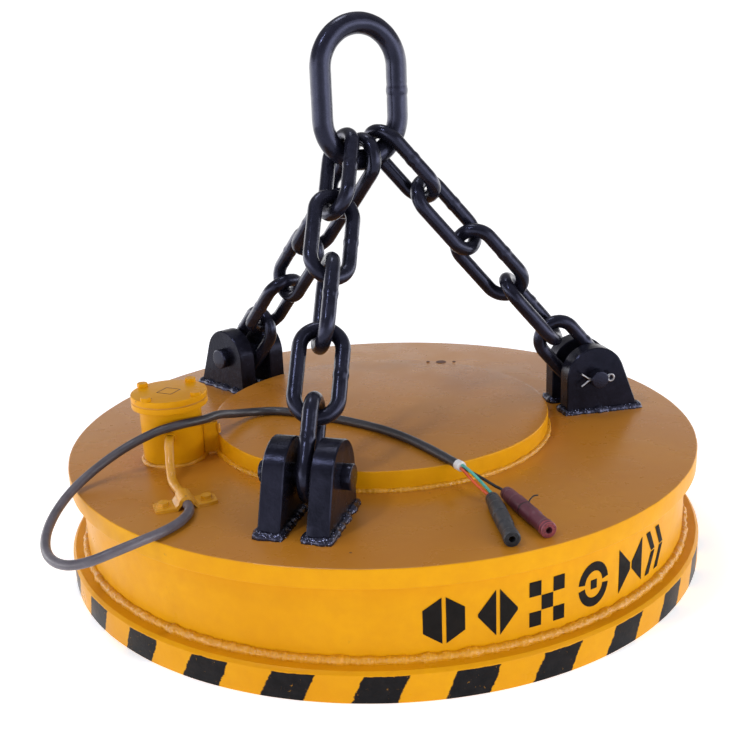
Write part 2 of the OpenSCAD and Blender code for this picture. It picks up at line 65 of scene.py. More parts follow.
class Nodes:
    """A material's nodes, with short calls for the ones used here."""

    def __init__(self, name):
        self.mat = bpy.data.materials.new(name)
        self.mat.use_nodes = True
        self.tree = self.mat.node_tree
        self.tree.nodes.clear()
        self.out = self.tree.nodes.new("ShaderNodeOutputMaterial")
        self.bsdf = self.tree.nodes.new("ShaderNodeBsdfPrincipled")
        self.link(self.bsdf.outputs[0], self.out.inputs[0])
        self.coord = self.tree.nodes.new("ShaderNodeTexCoord").outputs["Object"]

    def link(self, a, b):
        self.tree.links.new(a, b)

    def put(self, socket, value):
        if hasattr(value, "links"):
            self.link(value, socket)
        elif isinstance(value, (tuple, list)) and len(value) == 3 and len(socket.default_value) == 4:
            socket.default_value = (*value, 1)
        else:
            socket.default_value = value

    def fix(self, **named):
        for name, value in named.items():
            self.bsdf.inputs[name.replace("_", " ")].default_value = value

    def noise(self, scale, detail=3.0, rough=0.55, shift=0.0):
        n = self.tree.nodes.new("ShaderNodeTexNoise")
        n.inputs["Scale"].default_value = scale
        n.inputs["Detail"].default_value = detail
        n.inputs["Roughness"].default_value = rough
        m = self.tree.nodes.new("ShaderNodeMapping")
        m.inputs["Location"].default_value = (shift, shift * 0.7, shift * 1.3)
        self.link(self.coord, m.inputs[0])
        self.link(m.outputs[0], n.inputs["Vector"])
        return n.outputs["Fac"]

    def spots(self, scale, radius, soft=0.08):
        n = self.tree.nodes.new("ShaderNodeTexVoronoi")
        n.inputs["Scale"].default_value = scale
        self.link(self.coord, n.inputs["Vector"])
        return self.ramp(n.outputs["Distance"], radius, radius + soft, 1.0, 0.0)

    def math(self, op, a, b=0.0, c=0.0):
        n = self.tree.nodes.new("ShaderNodeMath")
        n.operation = op
        for socket, value in zip(n.inputs, (a, b, c)):
            self.put(socket, value)
        return n.outputs[0]

    def ramp(self, value, low, high, out_low=0.0, out_high=1.0):
        n = self.tree.nodes.new("ShaderNodeMapRange")
        n.clamp = True
        for socket, v in zip(n.inputs, (value, low, high, out_low, out_high)):
            self.put(socket, v)
        return n.outputs[0]

    def mix(self, factor, a, b):
        n = self.tree.nodes.new("ShaderNodeMix")
        n.data_type = "RGBA"
        self.put(n.inputs[0], factor)
        self.put(n.inputs[6], a)
        self.put(n.inputs[7], b)
        return n.outputs[2]

    def xyz(self, socket):
        n = self.tree.nodes.new("ShaderNodeSeparateXYZ")
        self.link(socket, n.inputs[0])
        return n.outputs[0], n.outputs[1], n.outputs[2]

    def normal_z(self):
        return self.xyz(self.tree.nodes.new("ShaderNodeNewGeometry").outputs["Normal"])[2]

    def bump(self, height, distance, strength=1.0, after=None):
        n = self.tree.nodes.new("ShaderNodeBump")
        n.inputs["Strength"].default_value = strength
        n.inputs["Distance"].default_value = distance
        self.put(n.inputs["Height"], height)
        if after is not None:
            self.link(after, n.inputs["Normal"])
        self.link(n.outputs[0], self.bsdf.inputs["Normal"])
        return n.outputs[0]

    def colour(self, value):
        self.put(self.bsdf.inputs["Base Color"], value)

    def rough(self, value):
        self.put(self.bsdf.inputs["Roughness"], value)


def yellow_paint(name, weld=False, gloss=False):
    """Amber machine enamel, brushed over plate: patchy tone, dust on upward faces, a few scuffs and chips."""
    n = Nodes(name)
    wide = n.noise(5, 4, 0.6)
    fine = n.noise(60, 4, 0.6, shift=3)
    base = n.mix(n.ramp(wide, 0.3, 0.7), (0.65, 0.282, 0.002), (0.73, 0.345, 0.004))
    base = n.mix(n.ramp(fine, 0.35, 0.75, 0.0, 0.35), base, (0.58, 0.230, 0.005))
    up = n.ramp(n.normal_z(), 0.6, 0.98)
    least, most = (0.60, 0.90) if gloss else (0.0, 0.22)
    dust = n.math("MULTIPLY", up, n.ramp(n.noise(3.2, 5, 0.65, shift=9), 0.25, 0.8, least, most))
    base = n.mix(dust, base, (0.40, 0.140, 0.018))
    scuff = n.math("MULTIPLY", n.ramp(n.noise(26, 6, 0.75, shift=21), 0.66, 0.70), n.ramp(wide, 0.5, 0.6))
    base = n.mix(n.math("MULTIPLY", scuff, 0.5), base, (0.30, 0.14, 0.03))
    chip = n.spots(38, 0.055, 0.015)
    chip = n.math("MULTIPLY", chip, n.ramp(n.noise(9, 2, 0.5, shift=5), 0.58, 0.62))
    base = n.mix(chip, base, (0.16, 0.07, 0.03))
    n.colour(base)
    sheen = n.ramp(n.noise(14, 5, 0.6, shift=7), 0.3, 0.7, 0.26, 0.40)
    n.rough(n.math("MULTIPLY", sheen, 0.85) if gloss else sheen)
    first = n.bump(n.noise(420, 2, 0.5), 0.00012, 0.5)
    second = n.bump(n.noise(22, 4, 0.6, shift=12), 0.0016, 0.22 if gloss else 0.5, first)
    if weld:
        n.bump(n.noise(190, 4, 0.65, shift=2), 0.0022, 0.9, second)
    n.fix(Specular_IOR_Level=0.5 if gloss or weld else 0.08,
          Coat_Weight=0.35 if weld else 0.02, Coat_Roughness=0.12)
    return n


STRIPE_COUNT, STRIPE_SHIFT, STRIPE_SLANT = 27, 0.436, -0.95
STRIPE_INSIDE = 0.19  # the square of a radius between the ring's bore and its side


def stripe_paint(name):
    """The pole shoe: yellow with slanted black stripes hand-painted round the side."""
    n = yellow_paint(name)
    old = n.bsdf.inputs["Base Color"].links[0].from_socket
    x, y, z = n.xyz(n.coord)
    angle = n.math("ARCTAN2", y, x)
    slant = n.math("MULTIPLY", z, STRIPE_SLANT)
    wobble = n.math("MULTIPLY_ADD", n.noise(40, 6, 0.75, shift=4), 0.030, -0.015)
    turn = n.math("ADD", n.math("ADD", angle, slant), wobble)
    cell = n.math("FRACT", n.math("MULTIPLY_ADD", turn, STRIPE_COUNT / math.tau, STRIPE_SHIFT))
    band = n.math("SUBTRACT", n.ramp(cell, 0.250, 0.262), n.ramp(cell, 0.735, 0.747))
    ragged = n.math("MULTIPLY_ADD", n.noise(45, 4, 0.7, shift=15), 0.004, z)
    below = n.ramp(ragged, 0.0368, 0.0374, 1, 0)
    side = n.ramp(n.math("ABSOLUTE", n.normal_z()), 0.80, 0.9, 1, 0)
    square = n.math("MULTIPLY_ADD", x, x, n.math("MULTIPLY", y, y))
    outside = n.math("GREATER_THAN", square, STRIPE_INSIDE)
    band = n.math("MULTIPLY", n.math("MULTIPLY", band, below), n.math("MULTIPLY", side, outside))
    black = n.mix(n.ramp(n.noise(70, 5, 0.7, shift=6), 0.35, 0.75),
                  (0.003, 0.003, 0.004), (0.011, 0.010, 0.011))
    thin = n.ramp(n.noise(120, 6, 0.8, shift=11), 0.63, 0.72, 1, 0.15)
    n.colour(n.mix(n.math("MULTIPLY", band, thin), old, black))
    n.fix(Specular_IOR_Level=0.10, Coat_Weight=0.02)
    return n


def black_enamel(name, lumpy=0.0, spatter_and_glints=False, shine=0.36):
    """Thick glossy black over forged or cut steel, dusty in places, worn grey on the bearing spots."""
    n = Nodes(name)
    wide = n.noise(24, 5, 0.65)
    base = n.mix(n.ramp(wide, 0.35, 0.7), (0.0035, 0.0036, 0.0060), (0.011, 0.011, 0.019))
    dust = n.math("MULTIPLY", n.ramp(n.normal_z(), 0.2, 0.95),
                  n.ramp(n.noise(45, 5, 0.7, shift=8), 0.45, 0.75))
    base = n.mix(n.math("MULTIPLY", dust, 0.22), base, (0.060, 0.062, 0.095))
    worn = n.ramp(n.noise(150, 6, 0.75, shift=13), 0.72, 0.78)
    base = n.mix(n.math("MULTIPLY", worn, 0.35), base, (0.10, 0.10, 0.14))
    if spatter_and_glints:
        # weld spatter: the bright blue-white dots are painted highlights (glints) on the spatter, which the
        # bump further down raises
        glint_dots = n.math("MULTIPLY", n.spots(330, 0.16, 0.05),
                      n.ramp(n.noise(60, 2, 0.5, shift=17), 0.44, 0.52))
        base = n.mix(glint_dots, base, (0.52, 0.57, 0.85))
    n.colour(base)
    n.rough(n.ramp(n.noise(70, 5, 0.7, shift=2), 0.3, 0.7, 0.15, 0.30))
    first = n.bump(n.noise(620, 3, 0.6), 0.00012, 0.5)
    second = n.bump(n.noise(85, 4, 0.6, shift=5), 0.0006 + lumpy, 0.6, first)
    if spatter_and_glints:
        n.bump(n.spots(260, 0.18, 0.12), 0.0012, 0.8, second)
    n.fix(Specular_IOR_Level=shine, Specular_Tint=(0.58, 0.62, 1.0, 1.0))
    return n


def moulded(name, dark, light, rough=0.42, coat=0.0, shine=0.5):
    """Rubber or moulded plastic: fine grain, handling marks and slightly uneven tone."""
    n = Nodes(name)
    base = n.mix(n.ramp(n.noise(38, 4, 0.6), 0.3, 0.7), dark, light)
    scuff = n.ramp(n.noise(240, 5, 0.75, shift=4), 0.64, 0.74, 0.0, 0.5)
    lighter = tuple(min(1.0, c * 1.7 + 0.03) for c in light)
    n.colour(n.mix(scuff, base, lighter))
    n.rough(n.ramp(n.noise(90, 4, 0.6, shift=6), 0.3, 0.7, rough - 0.10, rough + 0.12))
    n.bump(n.noise(1300, 2, 0.5), 0.00012, 0.6)
    n.fix(Specular_IOR_Level=shine, Coat_Weight=coat, Coat_Roughness=0.2)
    return n


def cable_rubber(name):
    """Grey sheath, gone greasy black towards its loose end."""
    n = moulded(name, (0.066, 0.058, 0.072), (0.122, 0.110, 0.132), 0.40, coat=0.1)
    clean = n.bsdf.inputs["Base Color"].links[0].from_socket
    x, y = n.xyz(n.coord)[:2]
    patchy = n.math("MULTIPLY_ADD", n.noise(30, 4, 0.6, shift=5), 0.05, -0.02)
    grease = n.math("MAXIMUM", n.ramp(n.math("ADD", x, patchy), -0.20, -0.05),
                    n.ramp(n.math("ADD", y, patchy), -0.21, -0.13))
    n.colour(n.mix(n.math("MULTIPLY", grease, 0.86), clean, (0.012, 0.012, 0.016)))
    return n


def metal(name, dark, light, rough=0.34):
    """Bare or plated metal, mottled and stained."""
    n = Nodes(name)
    grains = n.noise(180, 4, 0.6)
    n.colour(n.mix(n.ramp(grains, 0.3, 0.7), dark, light))
    n.rough(n.ramp(n.noise(60, 4, 0.6, shift=3), 0.3, 0.7, rough - 0.1, rough + 0.14))
    n.bump(grains, 0.00010, 0.5)
    n.fix(Metallic=1.0)
    return n


PAINT = yellow_paint("amber_enamel").mat
PAINT_TOP = yellow_paint("amber_enamel_plate_top", gloss=True).mat
PAINT_WELD = yellow_paint("amber_enamel_weld", weld=True).mat
STRIPES = stripe_paint("pole_shoe_stripes").mat
BLACK = black_enamel("black_enamel").mat
BLACK_CUT = black_enamel("black_enamel_cut_plate", lumpy=0.0003, shine=0.16).mat
BLACK_WELD = black_enamel("black_enamel_weld", lumpy=0.0016, spatter_and_glints=True, shine=0.8).mat
MARK = moulded("stencil_black", (0.004, 0.0035, 0.0035), (0.010, 0.008, 0.007), 0.6, shine=0.10).mat
CABLE = cable_rubber("cable_rubber").mat
# gasket: overpainted amber, toned a little darker than the paint; the darker tone is painted shade in the seam
# between flange and cover
GASKET = moulded("gasket_overpainted_seam_shade", (0.46, 0.19, 0.005), (0.60, 0.26, 0.008), 0.5).mat
TIE = moulded("tie_nylon", (0.012, 0.012, 0.012), (0.03, 0.03, 0.03), 0.5).mat
STAMP = moulded("worn_stamp", (0.075, 0.024, 0.016), (0.17, 0.065, 0.035), 0.5).mat
WHITE_TAPE = moulded("jacket_end_white", (0.62, 0.62, 0.62), (0.80, 0.80, 0.79), 0.5).mat
RED_CORE = moulded("core_orange_red", (0.62, 0.07, 0.015), (0.80, 0.13, 0.03), 0.35).mat
GREEN_CORE = moulded("core_teal", (0.05, 0.33, 0.28), (0.14, 0.50, 0.43), 0.35).mat
BLACK_CORE = moulded("core_black", (0.010, 0.010, 0.013), (0.03, 0.03, 0.036), 0.35).mat
CONN_BLACK = moulded("connector_black", (0.012, 0.013, 0.017), (0.032, 0.034, 0.040), 0.42).mat
CONN_MAROON = moulded("connector_maroon", (0.085, 0.018, 0.030), (0.15, 0.034, 0.052), 0.42).mat
CONN_LIP = moulded("connector_lip_red", (0.30, 0.045, 0.055), (0.42, 0.075, 0.085), 0.45).mat
BRASS = metal("brass_contact", (0.46, 0.30, 0.10), (0.72, 0.52, 0.22)).mat
ZINC = metal("zinc_wire", (0.26, 0.27, 0.30), (0.46, 0.47, 0.50), 0.42).mat
STEEL = metal("machined_steel", (0.30, 0.29, 0.28), (0.50, 0.49, 0.48)).mat
ROLLED = metal("manganese_steel_plate", (0.17, 0.16, 0.15), (0.30, 0.28, 0.26), 0.5).mat
COPPER = metal("enamelled_copper", (0.50, 0.20, 0.10), (0.72, 0.34, 0.18)).mat
LAMINATE = moulded("insulating_laminate", (0.42, 0.28, 0.12), (0.58, 0.42, 0.20), 0.5).mat

# ---------------------------------------------------------------- mesh helpers


def add(name, verts, faces, mat, body="magnet", slot="yellow_paint", replaces=(), sharp=35):
    """Makes a piece from a shell: smooth shading up to the sharp angle, its body,
    and the CAD nodes that it is shown in place of. The slot argument is not used."""
    mesh = bpy.data.meshes.new(name)
    mesh.from_pydata([tuple(v) for v in verts], [], faces)
    mesh.validate()
    bm = bmesh.new()
    bm.from_mesh(mesh)
    bmesh.ops.remove_doubles(bm, verts=bm.verts, dist=1e-6)
    bmesh.ops.recalc_face_normals(bm, faces=bm.faces)
    bm.to_mesh(mesh)
    bm.free()
    mesh.polygons.foreach_set("use_smooth", [True] * len(mesh.polygons))
    mesh.set_sharp_from_angle(angle=math.radians(sharp))
    obj = bpy.data.objects.new(name, mesh)
    bpy.context.scene.collection.objects.link(obj)
    mesh.materials.append(mat)
    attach(obj, body)
    if replaces:
        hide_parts(*replaces)
    return obj


class Parts:
    """Gathers several shells into one mesh."""

    def __init__(self):
        self.v, self.f = [], []

    def take(self, verts, faces):
        k = len(self.v)
        self.v += [Vector(v) for v in verts]
        self.f += [[i + k for i in f] for f in faces]


def rounded(points, radii, steps=4):
    """Profile points with each corner rounded by its radius."""
    out = []
    n = len(points)
    for i, (p, r) in enumerate(zip(points, radii)):
        p = np.array(p, float)
        if r <= 0:
            out.append(tuple(p))
            continue
        a = np.array(points[i - 1], float) - p
        b = np.array(points[(i + 1) % n], float) - p
        la, lb = np.linalg.norm(a), np.linalg.norm(b)
        a, b = a / la, b / lb
        half = math.acos(max(-1, min(1, float(a @ b)))) / 2
        cut = min(r / math.tan(half), la * 0.49, lb * 0.49)
        p0, p1 = p + a * cut, p + b * cut
        for s in range(steps + 1):
            t = s / steps
            out.append(tuple((1 - t) ** 2 * p0 + 2 * t * (1 - t) * p + t * t * p1))
    return out


def lathe(profile, count=256, wave=None):
    """Turns a closed (r, z) profile round Z. Points at r = 0 join on the axis.
    wave(angle, r, z) shifts a point."""
    verts, faces = [], []
    rows = []
    for r, z in profile:
        row = []
        if r < 1e-7:
            row = [len(verts)] * count
            verts.append(Vector((0, 0, z)))
        else:
            for j in range(count):
                a = math.tau * j / count
                dr, dz = wave(a, r, z) if wave else (0, 0)
                row.append(len(verts))
                verts.append(Vector(((r + dr) * math.cos(a), (r + dr) * math.sin(a), z + dz)))
        rows.append(row)
    for i in range(len(rows)):
        p, q = rows[i], rows[(i + 1) % len(rows)]
        if profile[i][0] < 1e-7 and profile[(i + 1) % len(rows)][0] < 1e-7:
            continue
        for j in range(count):
            k = (j + 1) % count
            f = []
            for idx in (p[j], p[k], q[k], q[j]):
                if idx not in f:
                    f.append(idx)
            if len(f) > 2:
                faces.append(f)
    return verts, faces


def moved(shell, matrix):
    return [matrix @ Vector(v) for v in shell[0]], shell[1]


def axes(origin, x, y, z):
    return Matrix((
        (x[0], y[0], z[0], origin[0]),
        (x[1], y[1], z[1], origin[1]),
        (x[2], y[2], z[2], origin[2]),
        (0, 0, 0, 1),
    ))


def ring_faces(rings, n, closed=False):
    """Quads between rings of n points. closed joins the last ring to the first."""
    return [[i * n + j, i * n + (j + 1) % n, (i + 1) % rings * n + (j + 1) % n, (i + 1) % rings * n + j]
            for i in range(rings if closed else rings - 1) for j in range(n)]


def smooth_line(points, step):
    """A Catmull-Rom line through the points, resampled at an even step."""
    p = [Vector(v) for v in points]
    p = [p[0] * 2 - p[1]] + p + [p[-1] * 2 - p[-2]]
    fine = []
    for i in range(1, len(p) - 2):
        a, b, c, d = p[i - 1:i + 3]
        for s in range(12):
            t = s / 12
            fine.append(0.5 * ((2 * b) + (c - a) * t + (2 * a - 5 * b + 4 * c - d) * t * t
                               + (3 * b - 3 * c + d - a) * t ** 3))
    fine.append(p[-2])
    run = [0.0]
    for a, b in zip(fine, fine[1:]):
        run.append(run[-1] + (b - a).length)
    count = max(2, round(run[-1] / step))
    out, k = [], 0
    for i in range(count + 1):
        want = run[-1] * i / count
        while k < len(run) - 2 and run[k + 1] < want:
            k += 1
        t = (want - run[k]) / max(1e-12, run[k + 1] - run[k])
        out.append(fine[k].lerp(fine[k + 1], t))
    return out


def tube(line, radius, sides=20, closed=False, wave=None):
    """A tube along a line. radius is a number or a function of the point's index.
    wave(point, normal) shifts a point outwards."""
    n = len(line)
    size = radius if callable(radius) else (lambda i: radius)
    ways = []
    for i in range(n):
        a = line[(i - 1) % n] if closed else line[max(0, i - 1)]
        b = line[(i + 1) % n] if closed else line[min(n - 1, i + 1)]
        ways.append((b - a).normalized())
    side = ways[0].orthogonal().normalized()
    verts, frames = [], []
    for w in ways:
        side = (side - w * side.dot(w)).normalized()
        frames.append((side.copy(), w.cross(side)))
    twist = 0.0
    if closed:
        s0, u0 = frames[0]
        last = (side - ways[0] * side.dot(ways[0])).normalized()
        twist = math.atan2(last.dot(u0), last.dot(s0))
    for i in range(n):
        s, u = frames[i]
        for j in range(sides):
            a = math.tau * j / sides - (twist * i / n)
            d = s * math.cos(a) + u * math.sin(a)
            p = line[i] + d * size(i)
            if wave:
                p = p + d * wave(p, d)
            verts.append(p)
    faces = ring_faces(n, sides, closed)
    if not closed:
        faces.append(list(range(sides - 1, -1, -1)))
        faces.append([(n - 1) * sides + j for j in range(sides)])
    return verts, faces


def grain(p, scale, seed=0.0):
    return noise.noise(Vector((p[0] * scale + seed, p[1] * scale - seed, p[2] * scale + 2 * seed)))


def hexagon_head(af, height):
    """Hexagon bolt head with a chamfered top, on z = 0."""
    r = af / 2 / math.cos(math.pi / 6)
    verts = []
    rings = [(r, 0.0), (r, height * 0.82), (r * 0.90, height), (r * 0.72, height)]
    for rr, z in rings:
        for j in range(24):
            a = math.tau * j / 24
            k = (a % (math.pi / 3)) - math.pi / 6
            edge = af / 2 / math.cos(k)
            use = min(edge, rr) if z > 0 else edge
            verts.append(Vector((use * math.cos(a), use * math.sin(a), z)))
    faces = ring_faces(len(rings), 24)
    faces.append(list(range(23, -1, -1)))
    faces.append([72 + j for j in range(24)])
    return verts, faces


def disc_shell(radius, height, edge, low, count):
    """A disc from z = low to z = height with a rounded top edge."""
    return lathe(rounded([(0, low), (radius, low), (radius, height), (0, height)], [0, edge, edge, 0]), count)


def bead(points, radius, mat, name, seed=1.0, slot="yellow_paint", replaces=(), closed=False, rough=0.35):
    """A hand-laid weld bead along a line: overlapping ripples, lumps and spatter."""
    line = points if closed else smooth_line(points, 0.003)
    run = [0.0]
    for a, b in zip(line, line[1:]):
        run.append(run[-1] + (b - a).length)

    def size(i):
        ripple = 0.5 + 0.5 * math.cos(math.tau * run[i] / 0.0062 + 2.2 * grain((run[i], 0, 0), 55, seed))
        lump = grain((run[i], 0.3, 0), 70, seed + 4)
        return radius * (1.0 + 0.10 * ripple + rough * lump)

    def wave(p, d):
        return radius * 0.22 * grain(p, 420, seed)

    verts, faces = tube(line, size, 12, closed=closed, wave=wave)
    return add(name, verts, faces, mat, slot=slot, replaces=replaces, sharp=60)


# ---------------------------------------------------------------- sizes, as in the CAD

PLATE_D, PLATE_T, BODY_H = 0.900, 0.025, 0.164
SHELL_D, SHOE_D, SHOE_H, SHOE_IN, SHOE_CHAMFER = 0.870, 0.915, 0.040, 0.800, 0.004
BOSS_D, BOSS_H = 0.488, 0.028
LUG_AZ = (-106, 12, 134)
LEG_NAMES = ("front", "right", "rear")
EAR_T, EAR_GAP, EAR_ROUND, EAR_FOOT = 0.028, 0.032, 0.045, 0.069
PIN_R, PIN_Z, PIN_D, PIN_TAIL, PIN_HEAD_T, PIN_HEAD_R = 0.320, 0.055, 0.026, 0.017, 0.012, 0.0168
WIRE, LINK_L, LINK_W = 0.020, 0.100, 0.035
M_WIRE, M_L, M_W, M_YAW = 0.029, 0.150, 0.086, 28
M_AT = Vector((-0.012, 0.002, 0.478))
HOOKS = (-36, 41, -1)
TWIST = ((6, 17, 28, 39, 50), (-6, -19, -33, -46, -60), (0, -2, -4, -6, -8))
BOX = Vector((-0.290, -0.093, BODY_H))
BOX_D, BOX_IN_R, BOX_H, COVER_D = 0.084, 0.036, 0.096, 0.104
COVER_T, GASKET_T, FLANGE_T = 0.008, 0.002, 0.008
DUCT_SIDE, DUCT_H = 0.012, 0.046
BOLT_ACROSS, BOLT_HEAD = 0.013, 0.0055
CLAMP = Vector((-0.248, -0.262, BODY_H))

# ---------------------------------------------------------------- magnet body


def plate_wave(a, r, z):
    """Flame-cut rim: slight waviness up to 0.6 mm, always inwards."""
    if r < PLATE_D / 2 - 0.012:
        return 0, 0
    k = grain((math.cos(a), math.sin(a), z * 3), 9, 2) + 0.5 * grain((math.cos(a), math.sin(a), z * 8), 42, 5)
    return -0.0006 * abs(k) - 0.0001, 0


def edge_rows(r, low, high, rows):
    return [(r, low + (high - low) * i / rows) for i in range(1, rows)]


top = rounded(
    [(0.0, BODY_H - PLATE_T), (PLATE_D / 2, BODY_H - PLATE_T), (PLATE_D / 2, BODY_H), (0.0, BODY_H)],
    [0, 0.0016, 0.0022, 0])
plate = add("top_plate_body", *lathe(top, 360, plate_wave), PAINT_TOP, replaces=["top_plate"])


def shell_wave(a, r, z):
    if r < SHELL_D / 2 - 0.002:
        return 0, 0
    return 0.00035 * grain((math.cos(a) * 6, math.sin(a) * 6, z * 30), 1, 7) - 0.0004, 0


outer = [(SHELL_D / 2 - 0.030, SHOE_H), (SHELL_D / 2, SHOE_H)]
outer += edge_rows(SHELL_D / 2, SHOE_H, BODY_H - PLATE_T, 8)
outer += [(SHELL_D / 2, BODY_H - PLATE_T), (SHELL_D / 2 - 0.030, BODY_H - PLATE_T)]
add("outer_pole_wall", *lathe(outer, 360, shell_wave), PAINT, replaces=["outer_pole_shell"])


def shoe_wave(a, r, z):
    if r < SHOE_D / 2 - 0.006:
        return 0, 0
    return -0.0004 * abs(grain((math.cos(a) * 8, math.sin(a) * 8, z * 20), 1, 3)) - 0.0001, 0


shoe = rounded(
    [(SHOE_IN / 2, 0), (SHOE_D / 2, 0), (SHOE_D / 2, SHOE_H - SHOE_CHAMFER),
     (SHOE_D / 2 - SHOE_CHAMFER, SHOE_H), (SHOE_IN / 2, SHOE_H)],
    [0.0008, 0.0014, 0.0018, 0.0014, 0])
add("outer_pole_ring", *lathe(shoe, 360, shoe_wave), STRIPES, replaces=["outer_pole_shoe"])

boss = rounded([(0, BODY_H), (BOSS_D / 2, BODY_H), (BOSS_D / 2, BODY_H + BOSS_H), (0, BODY_H + BOSS_H)],
               [0, 0, 0.0022, 0])


def boss_wave(a, r, z):
    if r < BOSS_D / 2 - 0.006:
        return 0, 0
    return -0.0005 * abs(grain((math.cos(a) * 9, math.sin(a) * 9, z * 25), 1, 11)), 0


disc = add("centre_boss_disc", *lathe(boss, 300, boss_wave), PAINT_TOP, replaces=["centre_boss"])
for obj in (plate, disc):  # only the tops are dusty and glossy
    obj.data.materials.append(PAINT)
    for face in obj.data.polygons:
        face.material_index = int(face.normal.z < 0.7)


def ring_bead(r, z, size, name, seed, replaces=(), drop=1.0, count=1400, share=0.5):
    """A ring weld against a wall of radius r, on a floor at z: lumpy, rippled, laid in runs."""
    verts, faces = [], []
    rows = 9
    for j in range(count):
        a = math.tau * j / count
        run = a * r
        ca, sa = math.cos(a), math.sin(a)
        lump = (noise.noise(Vector((run * 60, seed, 0))) * 0.35
                + noise.noise(Vector((run * 17, seed + 5, 0))) * 0.25)
        drift = 3 * noise.noise(Vector((run * 30, seed + 9, 0)))
        ripple = 0.5 + 0.5 * math.cos(math.tau * run / 0.0065 + drift)
        s = size * (0.86 + share * lump + 0.10 * ripple)
        for k in range(rows):
            t = k / (rows - 1)
            bulge = 1.0 + 0.16 * math.sin(math.pi * t) + 0.16 * noise.noise(Vector((run * 230, t * 3, seed)))
            th = t * math.pi / 2
            rr = r - 0.001 + s * bulge * math.cos(th)
            zz = s * bulge * math.sin(th)
            verts.append(Vector((rr * ca, rr * sa, z + drop * zz)))
        verts.append(Vector(((r - 0.002) * ca, (r - 0.002) * sa, z)))
    n = rows + 1
    for j in range(count):
        q = (j + 1) % count
        for k in range(n):
            m = (k + 1) % n
            faces.append([j * n + k, q * n + k, q * n + m, j * n + m])
    return add(name, verts, faces, PAINT_WELD, replaces=replaces, sharp=70)


ring_bead(SHELL_D / 2, SHOE_H - 0.0005, 0.0088, "shoe_ring_weld", 3, share=0.85, replaces=["shell_weld_beads"])
ring_bead(SHELL_D / 2, BODY_H - PLATE_T + 0.0005, 0.0058, "plate_ring_weld", 8, drop=-1.0)
ring_bead(BOSS_D / 2, BODY_H - 0.0003, 0.0056, "boss_ring_weld", 14, replaces=["boss_weld_bead"],
          count=1100, share=0.85)

# nodes shown as they are in the CAD
for node, mat in {
    "inner_pole_shoe": PAINT, "inner_pole_core": STEEL, "inner_pole_bolts": STEEL,
    "coil_protection_plate": ROLLED, "coil_upper": COPPER, "coil_lower": COPPER, "coil_leads": COPPER,
    "coil_insulation_rings": LAMINATE, "coil_bobbin_sleeve": LAMINATE, "terminal_block": LAMINATE,
    "terminal_studs": BRASS, "socket_contacts": BRASS,
}.items():
    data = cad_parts[node].data
    data.materials.clear()
    data.materials.append(mat)

# plain geometric stencil marks on the shell wall: places and width in degrees, heights, half a thickness
marks = Parts()
MARK_PLACES = (-81.8, -73.4, -65.0, -55.9, -46.8, -39.1)
MARK_WIDE, MARK_LOW, MARK_HIGH, MARK_T = 6.4, 0.058, 0.116, 0.0002


def wall_strip(middle, pairs):
    """Stencil paint between two lines of points in a unit square, wrapped on the shell wall."""
    verts, faces = [], []
    for r in (SHELL_D / 2 - MARK_T, SHELL_D / 2 + MARK_T):
        for pair in pairs:
            for x, y in pair:
                a = math.radians(middle + MARK_WIDE * (x - 0.5))
                z = MARK_LOW + (MARK_HIGH - MARK_LOW) * y
                verts.append(Vector((r * math.cos(a), r * math.sin(a), z)))
    m = len(pairs)
    n = 2 * m
    for layer in (0, n):
        for s in range(m - 1):
            k = layer + 2 * s
            faces.append([k, k + 2, k + 3, k + 1])
    rim = [2 * s for s in range(m)] + [2 * s + 1 for s in range(m - 1, -1, -1)]
    for i, p in enumerate(rim):
        q = rim[(i + 1) % len(rim)]
        faces.append([p, q, q + n, p + n])
    return verts, faces


def quad(a, b, c, d):
    """Points along the sides from a to b and from d to c, in pairs."""
    def along(p, q, t):
        return p[0] + (q[0] - p[0]) * t, p[1] + (q[1] - p[1]) * t

    return [(along(a, b, i / 6), along(d, c, i / 6)) for i in range(7)]


def bar(x0, x1, y0, y1):
    return quad((x0, y0), (x1, y0), (x1, y1), (x0, y1))


def arc(a0, a1, inner, outer):
    """Part of a ring in the unit square."""
    out = []
    for i in range(15):
        a = math.radians(a0 + (a1 - a0) * i / 14)
        out.append(tuple((0.5 + r * math.cos(a), 0.5 + r * math.sin(a)) for r in (inner, outer)))
    return out


HALVES = [quad((0, 0.25), (0.45, 0), (0.45, 1), (0, 0.75)), quad((0.55, 0), (1, 0.25), (1, 0.75), (0.55, 1))]
DIAMOND = [quad((0, 0.47), (0.45, 0), (0.45, 1), (0, 0.53)), quad((0.55, 0), (1, 0.47), (1, 0.53), (0.55, 1))]
RING = [arc(8, 172, 0.30, 0.50), arc(188, 352, 0.30, 0.50), bar(0.40, 0.60, 0.40, 0.60)]
ARROWS = [q for x in (0, 0.5) for q in (quad((x, 0), (x + 0.2, 0), (x + 0.5, 0.48), (x + 0.3, 0.48)),
                                        quad((x + 0.3, 0.52), (x + 0.5, 0.52), (x + 0.2, 1), (x, 1)))]
CHECKS = [bar(x / 3, x / 3 + 0.32, y / 3, y / 3 + 0.32) for x in range(3) for y in range(3) if (x + y) % 2 == 0]
BOW_TIE = [quad((0, 0), (0.46, 0.42), (0.46, 0.58), (0, 1)), quad((0.54, 0.42), (1, 0), (1, 1), (0.54, 0.58))]
for place, shapes in zip(MARK_PLACES, (HALVES, DIAMOND, CHECKS, RING, BOW_TIE, ARROWS)):
    for shape in shapes:
        marks.take(*wall_strip(place, shape))
add("stencil_marks", marks.v, marks.f, MARK, slot="black_enamel")

# two small rivets and a worn round stamp on the boss
stamp = Parts()
for x, y, r, h in ((0.1038, 0.2184, 0.0085, 0.0004), (0.0822, 0.2212, 0.0028, 0.0012),
                   (0.1253, 0.2156, 0.0028, 0.0012)):
    stamp.take(*moved(disc_shell(r, h, h * 0.4, -0.0003, 28), Matrix.Translation((x, y, BODY_H + BOSS_H))))
add("boss_stamp", stamp.v, stamp.f, STAMP)

# ---------------------------------------------------------------- lugs


